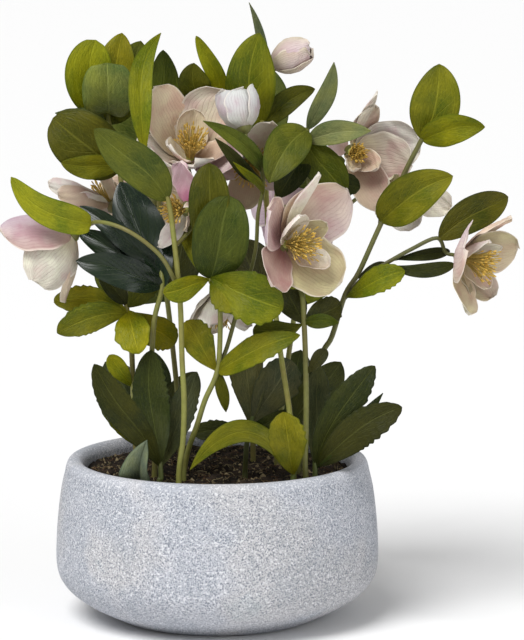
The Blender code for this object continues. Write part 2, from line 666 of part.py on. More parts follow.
def petal(name, frame, shape, foot, length, curl, wrap, rows, tilt):
    """A cupped blade that leans from the bloom's axis, tilted so that each overlaps the next."""
    centre, axis, side, other = frame
    turn, share, lean, width = shape
    angle, spread, reach = math.radians(turn), math.radians(lean), length * share
    radial = side * math.cos(angle) + other * math.sin(angle)
    tangent = other * math.cos(angle) - side * math.sin(angle)
    radius, height = foot
    grid = []
    for step in range(PETAL_STEPS + 1):
        place = step / PETAL_STEPS
        slope = spread + math.radians(curl * (1 - 2 * place))
        if step:
            radius += reach / PETAL_STEPS * math.sin(slope)
            height += reach / PETAL_STEPS * math.cos(slope)
        if step not in rows:
            continue
        half = max(reach * width / 2 * outline_share(SEPAL, place), SEPAL_BASE)
        arc = radius / wrap
        middle = centre + radial * (radius - arc) + axis * height
        row = []
        for way in (1, 0, -1):
            around = way * half / arc
            out = radial * math.cos(around) + tangent * math.sin(around)
            inward = axis * math.sin(slope) - out * math.cos(slope)
            lift = tilt * way * min(1, place * 4) + SEPAL_CUP * way * way
            row.append(middle + out * arc + inward * lift)
        grid.append(row[1:2] if place == 1 else row)
    facing = axis * math.sin(spread) - radial * math.cos(spread)
    return mesh_object(name, *thickened(grid, facing, SEPAL_THICKNESS))


def sepals(name, spec, surface):
    """The sepals and, in some open blooms, smaller inner petals on one receptacle."""
    frame = bloom_frame(spec)
    centre, axis, side, other = frame
    length = spec["length"] * STEP
    shift = Matrix.Rotation(math.radians(spec["petals"][0][0] - 180 / RECEPTACLE_SIDES), 3, axis)
    vertices, faces = turned(RECEPTACLE, RECEPTACLE_SIDES, closed_top=True)
    pieces = [mesh_object(name, placed(vertices, centre, axis, shift @ side, shift @ other), faces)]
    curl, wrap = (BUD_CURL, BUD_WRAP) if spec["bud"] else (SEPAL_CURL, SEPAL_WRAP)
    rows = SEPAL_ROWS if spec["length"] > SMALL_LENGTH else SMALL_ROWS
    for index, shape in enumerate(spec["petals"]):
        pieces.append(petal(f"{name}_{index}", frame, shape, SEPAL_FOOT, length, curl, wrap, rows, SEPAL_TILT))
    for index, shape in enumerate(spec["inner"]):
        pieces.append(petal(f"{name}_inner_{index}", frame, shape, INNER_FOOT, length, INNER_CURL, INNER_WRAP,
                            INNER_ROWS, 0))
    solid = joined(pieces)
    finish(solid, surface, False)
    return solid


def stamens(name, spec, surface):
    """A cluster of stamens standing out of a small core."""
    centre, axis, side, other = bloom_frame(spec)
    draw = random.Random(name)
    vertices, faces = turned(CORE, CORE_SIDES, closed_top=True)
    pieces = [mesh_object(name, placed(vertices, centre, axis, side, other), faces)]
    widest = math.radians(min([STAMEN_LEAN] + [shape[2] - STAMEN_CLEARANCE for shape in spec["inner"]]))
    height, radius = STAMEN_START
    for index in range(STAMEN_COUNT):
        angle = index * GOLDEN_ANGLE
        lean = widest * math.sqrt((index + 0.5) / STAMEN_COUNT)
        radial = side * math.cos(angle) + other * math.sin(angle)
        along = axis * math.cos(lean) + radial * math.sin(lean)
        around = along.cross(radial)
        start = centre + axis * height + radial * radius
        reach = along * spec["filament"] * draw.uniform(0.75, 1.0)
        pieces.append(stamen(f"{name}_{index}", start, reach, around.cross(along), around))
    solid = joined(pieces)
    finish(solid, surface, False)
    return solid


def stamen(name, start, reach, out, around):
    """A three-sided stalk that widens to its anther and ends in a point."""
    vertices = []
    for share, radius in STAMEN_RADII:
        for corner in range(3):
            turn = 2 * math.pi * corner / 3
            vertices.append(start + reach * share + (out * math.cos(turn) + around * math.sin(turn)) * radius)
    vertices.append(start + reach)
    faces = [(2, 1, 0)]
    for corner in range(3):
        after = (corner + 1) % 3
        faces.append((corner, after, after + 3, corner + 3))
        faces.append((corner + 3, after + 3, 6))
    return mesh_object(name, vertices, faces)


def bowl(surface):
    profile = [(radius * 0.001, height * 0.001) for radius, height in BOWL_OUTSIDE + BOWL_INSIDE]
    made = mesh_object("pot", *turned(profile, BOWL_SIDES))
    finish(made, surface, True)
    return made


def soil_wall():
    """The soil's (radius, height) pairs, from its foot to the edge of its top, clear of the bowl's wall."""
    wall = [(radius * 0.001, height * 0.001) for radius, height in reversed(BOWL_INSIDE)]
    wall = [(radius, height) for radius, height in wall if radius > 0 and height < SOIL_TOP]
    profile = []
    for index, (radius, height) in enumerate(wall):
        before = wall[max(index - 1, 0)]
        beyond = wall[min(index + 1, len(wall) - 1)]
        run = Vector((beyond[0] - before[0], beyond[1] - before[1])).normalized()
        inset = SOIL_GAP / math.cos(math.pi / SOIL_SIDES) + radius * (1 / math.cos(math.pi / BOWL_SIDES) - 1)
        profile.append((radius - run.y * inset * SOIL_SLACK, height + run.x * inset * SOIL_SLACK))
    return profile + [(radius, SOIL_TOP + rise) for radius, rise in SOIL_EDGE]


def root_hole(spec):
    """A plain shaft for one stem."""
    x, y = spec["root"][0] * STEP, spec["root"][1] * STEP
    radius = (STEM_RADIUS + SOIL_GAP) / math.cos(math.pi / HOLE_SIDES)
    profile = [(radius, SOIL_TOP - ROOT_DEPTH - SOIL_GAP), (radius, SOIL_TOP + HOLE_RISE)]
    vertices, faces = turned(profile, HOLE_SIDES, closed_top=True)
    return mesh_object("hole", [(a + x, b + y, c) for a, b, c in vertices], faces)


def soil(surface):
    """The filling of the bowl, crumbled on top, with a plain hole for every stem."""
    draw = random.Random(SOIL_SEED)
    vertices, faces = turned(soil_wall(), SOIL_SIDES)
    ring = list(range(len(vertices) - SOIL_SIDES, len(vertices)))
    for radius in SOIL_RINGS:
        following = list(range(len(vertices), len(vertices) + SOIL_SIDES))
        for side in range(SOIL_SIDES):
            angle = 2 * math.pi * side / SOIL_SIDES
            height = SOIL_TOP + draw.uniform(-1, 1) * SOIL_BUMP
            vertices.append((radius * math.cos(angle), radius * math.sin(angle), height))
        for side in range(SOIL_SIDES):
            after = (side + 1) % SOIL_SIDES
            faces.append((ring[side], ring[after], following[after]))
            faces.append((ring[side], following[after], following[side]))
        ring = following
    for side in range(SOIL_SIDES):
        faces.append((ring[side], ring[(side + 1) % SOIL_SIDES], len(vertices)))
    vertices.append((0, 0, SOIL_TOP))
    made = mesh_object("soil", vertices, faces)
    specs = list(STEMS.values()) + list(BASAL_LEAVES.values())
    combine(made, [root_hole(spec) for spec in specs], "DIFFERENCE")
    finish(made, surface, False)
    return made


for leftover in list(bpy.data.objects):
    bpy.data.objects.remove(leftover)

cement = material("cement", (0.62, 0.66, 0.70), 0.85)
earth = material("earth", (0.05, 0.03, 0.02), 0.95)
stem_green = material("stem_green", (0.16, 0.22, 0.05), 0.5)
basal_green = material("basal_green", (0.05, 0.09, 0.03), 0.45)
sepal_pink = material("sepal_pink", (0.70, 0.52, 0.48), 0.6)
stamen_gold = material("stamen_gold", (0.62, 0.38, 0.06), 0.6)

bowl(cement)
soil(earth)
for stem_name, stem_spec in STEMS.items():
    leafy_stem(stem_name, stem_spec, stem_green)
for leaf_name, leaf_parts in BASAL_LEAVES.items():
    leafy_stem(leaf_name, leaf_parts, basal_green)
for bloom_name, bloom_spec in BLOOMS.items():
    sepals(f"{bloom_name}_sepals", bloom_spec, sepal_pink)
    if not bloom_spec.get("bud", False):
        stamens(f"{bloom_name}_stamens", bloom_spec, stamen_gold)
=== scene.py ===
# Looks of the potted hellebore: cement bowl, crumbly soil, leafy stems, basal leaves and blooms
import math
import random

import bpy
import numpy as np
from mathutils import Matrix


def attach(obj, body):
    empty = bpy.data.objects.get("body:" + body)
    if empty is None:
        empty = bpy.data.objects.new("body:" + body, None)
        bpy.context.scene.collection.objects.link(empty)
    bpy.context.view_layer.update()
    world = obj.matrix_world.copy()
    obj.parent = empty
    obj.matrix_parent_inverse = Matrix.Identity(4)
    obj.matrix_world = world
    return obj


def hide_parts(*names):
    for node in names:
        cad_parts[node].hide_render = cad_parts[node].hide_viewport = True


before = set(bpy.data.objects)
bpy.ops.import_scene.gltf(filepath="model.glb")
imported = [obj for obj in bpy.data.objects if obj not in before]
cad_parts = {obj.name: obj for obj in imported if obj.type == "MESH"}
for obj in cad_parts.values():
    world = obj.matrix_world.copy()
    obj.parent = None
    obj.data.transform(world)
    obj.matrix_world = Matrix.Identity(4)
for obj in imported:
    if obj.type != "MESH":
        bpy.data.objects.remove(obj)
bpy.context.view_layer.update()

# All lengths are in metres unless a comment says steps. A profile is a row of (radius, height) pairs.

# Bowl
BOWL_OUTSIDE = ((0, 0), (0.060, 0), (0.066, 0), (0.070, 0.0006), (0.077, 0.0038), (0.084, 0.0074), (0.093, 0.0122),
                (0.103, 0.0192), (0.109, 0.0258), (0.1124, 0.0328), (0.11358, 0.0410), (0.11358, 0.0500),
                (0.1129, 0.0640), (0.1114, 0.0800), (0.1094, 0.0940), (0.1075, 0.1020), (0.1062, 0.1078),
                (0.1046, 0.1114), (0.1022, 0.1128))
BOWL_INSIDE = ((0.0992, 0.1129), (0.0966, 0.1120), (0.0944, 0.1094), (0.0935, 0.1060), (0.0938, 0.1000),
               (0.0950, 0.0930), (0.0985, 0.0760), (0.1020, 0.0560), (0.0980, 0.0260), (0.0600, 0.0120), (0, 0.0110))
BOWL_SIDES = 144
BOWL_STEPS = 3
BOWL_TINT = (0.62, 0.66, 0.70)

# Soil
SOIL_TOP = 0.1035
SOIL_LEVEL = SOIL_TOP - 0.0006
SOIL_RADIUS = 0.0932
SOIL_UNDER = ((SOIL_RADIUS, 0.100), (0.0960, 0.060), (0.0900, 0.030), (0, 0.028))
SOIL_RINGS = 60
SOIL_HUB = 0.001
SOIL_SIDES = 160
SOIL_ROUGH = 0.0004
SOIL_TINT = (0.05, 0.03, 0.02)
SPOT_EDGE = 0.002
ROOT_DEPTH = 0.020
ROOT_COLLAR = 0.003
CRUMBS = 3600
CRUMB_SIZE = 0.0004
CRUMB_GROWTH = 0.0016
CRUMB_TINT = np.array((0.038, 0.030, 0.017))
CRUMB_LIGHTS = (0.3, 0.6, 1.2, 2.4, 5.0, 9.0)
CRUMB_CORNERS = np.array([(1, 0, 0), (-1, 0, 0), (0, 1, 0), (0, -1, 0), (0, 0, 1), (0, 0, -1)], float)
CRUMB_FACES = np.array([(4, 0, 2), (4, 2, 1), (4, 1, 3), (4, 3, 0), (5, 2, 0), (5, 1, 2), (5, 3, 1), (5, 0, 3)])
FIBRES = 420
FIBRE_RADIUS = 0.00022
FIBRE_STEPS = 6
FIBRE_STEP = 0.0016
FIBRE_EDGE = 0.001
FIBRE_LIE = 0.0004
FIBRE_ARCH = 0.0014
FIBRE_TINTS = ((0.22, 0.15, 0.075), (0.13, 0.070, 0.035), (0.34, 0.28, 0.15), (0.08, 0.06, 0.03))

# Green parts
LEAF_THICKNESS = 0.0007
LEAF_BASE = 0.0009
LEAF_GRID = (34, 13)
TOOTHED_GRID = (64, 11)
TOOTH_LENGTH = 0.0058
TOOTH_DEPTH = 0.12
STEM_RADIUS = 0.0020
BRANCH_RADIUS = 0.0015
BLOOM_NECK = 0.007
TUBE_SIDES = 9
TUBE_STEPS = 5

# Blooms
SEPAL_THICKNESS = 0.0006
SEPAL_BASE = 0.0014
SEPAL_GRID = (24, 13)
SEPAL_CUP = 0.0010
SEPAL_MIDRIB = 0.0005
SEPAL_TILT = 0.0018
SEPAL_FOOT = (0.0036, -0.0004)
INNER_FOOT = (0.0034, 0.0004)
SMALLEST_ARC = 0.0022
FLARE_FROM = 0.76
RECEPTACLE = ((0, -0.0046), (0.0016, -0.0045), (0.0036, -0.0030), (0.0054, -0.0010), (0.0056, 0.0008), (0, 0.0012))
RECEPTACLE_SIDES = 20
STYLES = ((0, 0.0005), (0.0030, 0.0008), (0.0024, 0.0035), (0.0012, 0.0050), (0, 0.0054))
STYLE_SIDES = 12
STYLE_TINT = (0.42, 0.46, 0.12)
STAMENS = 96
STAMEN_FOOT = 0.0022
WIDEST_STAMEN = 34
FILAMENT_RADIUS = 0.00028
FILAMENT_TINT = np.array((0.60, 0.48, 0.13))
ANTHER_PLACES = np.array((0, 0.0008, 0.0020, 0.0028))
ANTHER_RADII = (0.0003, 0.00052, 0.00052, 0.0003)
ANTHER_TINT = np.array((0.68, 0.47, 0.09))
ANTHER_STRAY = 0.0012
GOLDEN_ANGLE = math.radians(137.5)

TURN = 2 * math.pi
LAST_PHASE = 6.28
SHARP = math.radians(62)

# The layout is written as the plant looks from the front, a little above level. A place is (across, up, back):
# across is from the bowl's axis to the right and up is from the table, both as they appear on the upright plane
# through the axis, and back is the depth behind that plane. All three are in steps of 0.7 mm.
STEP = 0.0007
SIGHT_LENGTH = 2.5
SIGHT_PITCH = math.radians(8.6)
SIGHT_CENTRE = (45, 292)
SIGHT_HEIGHT = 0.2103
FORWARD = np.array((0, math.cos(SIGHT_PITCH), -math.sin(SIGHT_PITCH)))
RIGHT = np.array((1.0, 0, 0))
UPWARD = np.cross(RIGHT, FORWARD)
EYE = np.array((SIGHT_CENTRE[0] * STEP, 0, SIGHT_HEIGHT)) - FORWARD * SIGHT_LENGTH
IMAGE_HEIGHT = 640
SENSOR = 36

# Light
SKY_STRENGTH = 0.38
SUN_WAY = (0.42, 0.62, -1.0)
SUN_STRENGTH = 2.9
SUN_SPREAD = math.radians(32)
FILL_PLACE = np.array((1.5, -1.7, 0.9))
FILL_TARGET = (0, 0, 0.25)
FLOOR_REACH = 40
FLOOR_COLOUR = (0.90, 0.90, 0.90)

# Leaf outlines: the width along a blade is t to the first power times (1 - t) to the second
OVATE = (0.62, 0.72)
ROUND = (0.55, 0.50)
LANCE = (0.80, 0.88)
BROAD = (1.15, 0.60)
LOBE = (0.95, 0.66)
DELTA = (0.30, 0.90)
TAPER = (0.35, 0.62)
FLAT = (0.45, 0.28)
SEPAL = (0.62, 0.44)
INNER = (0.60, 0.48)

# How petals stand: degrees of curl and of flare at the tip, share of a full wrap, outline, foot and tilt
OPEN_SEPAL = (22, 20, 0.62, SEPAL, SEPAL_FOOT, SEPAL_TILT)
CLOSED_SEPAL = (46, 4, 0.95, SEPAL, SEPAL_FOOT, SEPAL_TILT)
INNER_PETAL = (18, 20, 0.9, INNER, INNER_FOOT, 0)

# Leaf colours, front and back
TONES = {
    "lime": ((0.178, 0.172, 0.002), (0.15, 0.158, 0.008)),
    "lemon": ((0.235, 0.225, 0.01), (0.2, 0.205, 0.016)),
    "moss": ((0.128, 0.126, 0.003), (0.112, 0.12, 0.008)),
    "olive": ((0.06, 0.063, 0.001), (0.062, 0.07, 0.004)),
    "green": ((0.082, 0.094, 0.01), (0.086, 0.102, 0.016)),
    "forest": ((0.045, 0.064, 0.006), (0.06, 0.08, 0.012)),
    "dark": ((0.025, 0.029, 0.003), (0.032, 0.038, 0.007)),
    "gloss": ((0.006, 0.016, 0.008), (0.014, 0.026, 0.012)),
    # shade is a lighter dark olive for leaves that sit in shadow: painted light
    "shade": ((0.044, 0.052, 0.016), (0.05, 0.058, 0.02)),
    "dusk": ((0.074, 0.078, 0.03), (0.08, 0.084, 0.034)),
    "grey": ((0.115, 0.138, 0.052), (0.135, 0.16, 0.072)),
    # sage is raised for a leaf under a cast shadow: painted light
    "sage": ((0.15, 0.168, 0.032), (0.15, 0.165, 0.04)),
    "silver": ((0.2, 0.195, 0.08), (0.19, 0.195, 0.09)),
    "slate": ((0.14, 0.155, 0.118), (0.13, 0.15, 0.115)),
}
STEM_TINT = (0.19, 0.19, 0.04)
BRANCH_TINT = (0.15, 0.15, 0.035)
BASAL_TINT = (0.08, 0.1, 0.02)


def leaf(base, tip, width, tone="olive", outline=OVATE, bend=0.08, sway=0.0, roll=0, fold=14, toothed=False):
    """A blade from base to tip; sway bows it clockwise as seen, roll turns it from facing the front."""
    return dict(base=base, tip=tip, width=width, tone=tone, outline=outline, bend=bend, sway=sway, roll=roll,
                fold=fold, toothed=toothed)


def jagged(*shape, **settings):
    """A leaf with teeth."""
    return leaf(*shape, toothed=True, **settings)


def stem(root, tubes, leaves, shade=1):
    """A stem or stalk: its root, (right, back) in steps, its tubes and leaves; shade lightens or darkens its tubes as
    painted light and shade.
    """
    return dict(root=root, tubes=tubes, leaves=leaves, shade=shade)


def bloom(at, facing, length, petals, inner=(), bud=False, filament=0.0235):
    """A bloom: where its sepals meet, where it faces as (right, up, front), and the length of a sepal in steps.

    Each petal is its direction round the axis, its share of the length, how far it leans from the axis, its width
    as a share of its length, and its tint, or the tints of its two sides.
    """
    return dict(at=at, facing=facing, length=length, petals=petals, inner=inner, bud=bud, filament=filament)


def whorl(turn, lean, tint="cream", width=0.95, shares=(1, 0.93, 1.03, 0.95, 0.98)):
    """Five even petals."""
    return tuple((turn + 72 * index, share, lean, width, tint) for index, share in enumerate(shares))


# Petal colours: inside, outside and at the foot
PETALS = {
    "cream": ((0.7, 0.59, 0.41), (0.7, 0.58, 0.43), (0.42, 0.3, 0.15)),
    "tan": ((0.64, 0.5, 0.36), (0.64, 0.5, 0.38), (0.34, 0.21, 0.12)),
    "green": ((0.49, 0.42, 0.24), (0.56, 0.52, 0.34), (0.4, 0.28, 0.14)),
    "blush": ((0.54, 0.46, 0.34), (0.54, 0.46, 0.34), (0.36, 0.32, 0.18)),
    "mauve": ((0.47, 0.31, 0.26), (0.44, 0.28, 0.25), (0.2, 0.09, 0.07)),
    "lilac": ((0.63, 0.5, 0.48), (0.62, 0.49, 0.57), (0.46, 0.3, 0.28)),
    "pink": ((0.74, 0.51, 0.56), (0.72, 0.48, 0.54), (0.54, 0.15, 0.3)),
    "white": ((0.66, 0.62, 0.56), (0.6, 0.59, 0.57), (0.5, 0.46, 0.34)),
    # A lit copy of the cream tints: painted light that lifts petals which fall in shade
    "bright": ((0.88, 0.82, 0.69), (0.84, 0.8, 0.72), (0.6, 0.52, 0.34)),
    "ivory": ((0.66, 0.61, 0.5), (0.64, 0.6, 0.5), (0.46, 0.38, 0.24)),
    "rose": ((0.42, 0.29, 0.23), (0.46, 0.33, 0.29), (0.22, 0.12, 0.08)),
    "pearl": ((0.48, 0.48, 0.47), (0.54, 0.54, 0.53), (0.42, 0.42, 0.32)),
}

# The blooms
BLOOMS = {
    "bloom_1": bloom((-144, 378, -40), (-0.8, -0.52, -0.1), 72.8, petals=(
        (52, 1, 40, 0.86, "lilac rose"), (124, 0.86, 38, 0.9, "lilac"), (196, 0.84, 38, 0.9, "cream"),
        (268, 0.92, 44, 0.5, "cream"), (338, 0.89, 36, 0.95, "ivory"))),
    "bloom_2": bloom((-27, 453, 4), (0.08, 0.72, 0.68), 76, petals=(
        (54, 0.98, 48, 1, "ivory cream"), (126, 1.03, 44, 0.74, "cream"), (200, 0.86, 48, 0.9, "bright ivory"),
        (268, 0.72, 40, 0.9, "bright"), (340, 0.86, 52, 0.8, "lilac")),
        inner=((206, 0.55, 32, 0.85, "bright"), (84, 0.62, 38, 0.8, "cream"), (342, 0.6, 44, 0.8, "tan rose"))),
    "bloom_3": bloom((27, 484, -38), (-0.22, 0.9, -0.3), 45, bud=True, petals=whorl(15, 16, "pearl", 1.16)),
    "bloom_4": bloom((55, 548, 34), (0.9, 0.36, 0.1), 47, bud=True, petals=whorl(0, 6, "lilac blush", 0.82)),
    "bloom_5": bloom((68, 368, -62), (0.66, 0.06, 0.75), 74, petals=(
        (44, 1.06, 60, 1, "tan lilac"), (86, 1.12, 52, 0.26, "bright"), (140, 0.86, 60, 0.8, "lilac mauve"),
        (222, 0.78, 60, 0.86, "mauve"), (316, 0.87, 58, 1, "green")),
        inner=((108, 0.58, 38, 0.95, "bright"), (40, 0.6, 36, 0.7, "green"), (320, 0.62, 38, 0.62, "bright tan"))),
    "bloom_6": bloom((134, 460, 76), (0.32, 0.04, 0.94), 66, filament=0.013, petals=(
        (346, 0.92, 56, 1, "ivory rose"), (10, 1.04, 62, 0.8, "white"), (70, 0.8, 62, 0.5, "bright tan"),
        (77, 1.08, 55, 0.16, "bright"), (150, 0.5, 60, 0.8, "lilac"), (294, 1, 58, 0.66, "rose tan")),
        inner=((320, 0.52, 34, 0.9, "cream tan"), (250, 0.42, 30, 0.8, "cream"))),
    "bloom_7": bloom((243, 355, -38), (0.84, -0.22, 0.5), 64, petals=(
        (74, 0.98, 50, 0.55, "tan"), (18, 0.94, 48, 0.9, "green cream"), (156, 0.92, 60, 1.15, "tan lilac"),
        (254, 0.88, 54, 0.75, "cream green"), (306, 0.8, 46, 0.66, "ivory green")),
        inner=((40, 0.62, 34, 0.7, "ivory"), (300, 0.62, 34, 0.7, "bright cream"), (110, 0.6, 36, 0.8, "bright"))),
    "bloom_8": bloom((-104, 406, 32), (-0.8, 0.35, -0.5), 60, filament=0.018, petals=(
        (328, 0.82, 38, 0.95, "bright lilac"), (2, 0.94, 36, 0.42, "tan"), (8, 1.14, 27, 0.3, "bright"),
        (100, 0.8, 40, 0.7, "cream"), (180, 0.8, 36, 0.8, "cream"), (250, 0.7, 36, 0.8, "cream"))),
    "bloom_9": bloom((34, 450, 26), (0.05, -0.05, 0.98), 48, petals=(
        (66, 0.98, 64, 0.7, "bright green"), (112, 0.8, 60, 0.6, "bright"), (186, 0.8, 60, 0.8, "lilac"),
        (258, 0.98, 64, 0.8, "cream tan"), (330, 0.8, 62, 0.8, "lilac"))),
    "bloom_10": bloom((0, 320, 6), (0.06, -0.93, 0.2), 50, petals=whorl(50, 34, "bright ivory", 0.8)),
    "bloom_11": bloom((-30, 403, -42), (-0.78, 0.05, 0.62), 49, filament=0.014, petals=(
        (84, 0.94, 68, 0.7, "pink"), (150, 0.5, 60, 0.8, "cream"), (242, 0.9, 66, 0.66, "white"),
        (300, 0.42, 60, 0.8, "cream"), (10, 0.4, 50, 0.7, "blush"))),
    "bloom_12": bloom((184, 418, 26), (0.35, -0.25, 0.9), 46, filament=0.017, petals=(
        (352, 1.06, 62, 0.75, "bright"), (282, 0.74, 60, 1.1, "white"), (66, 0.6, 60, 0.8, "green"),
        (136, 0.6, 60, 0.8, "green"), (208, 0.7, 60, 0.8, "green"))),
    "bloom_13": bloom((-62, 410, 120), (-0.45, 0.15, -0.88), 60, petals=whorl(0, 60)),
    "bloom_14": bloom((70, 400, 122), (0.45, -0.05, -0.88), 60, petals=whorl(20, 60, "lilac")),
}
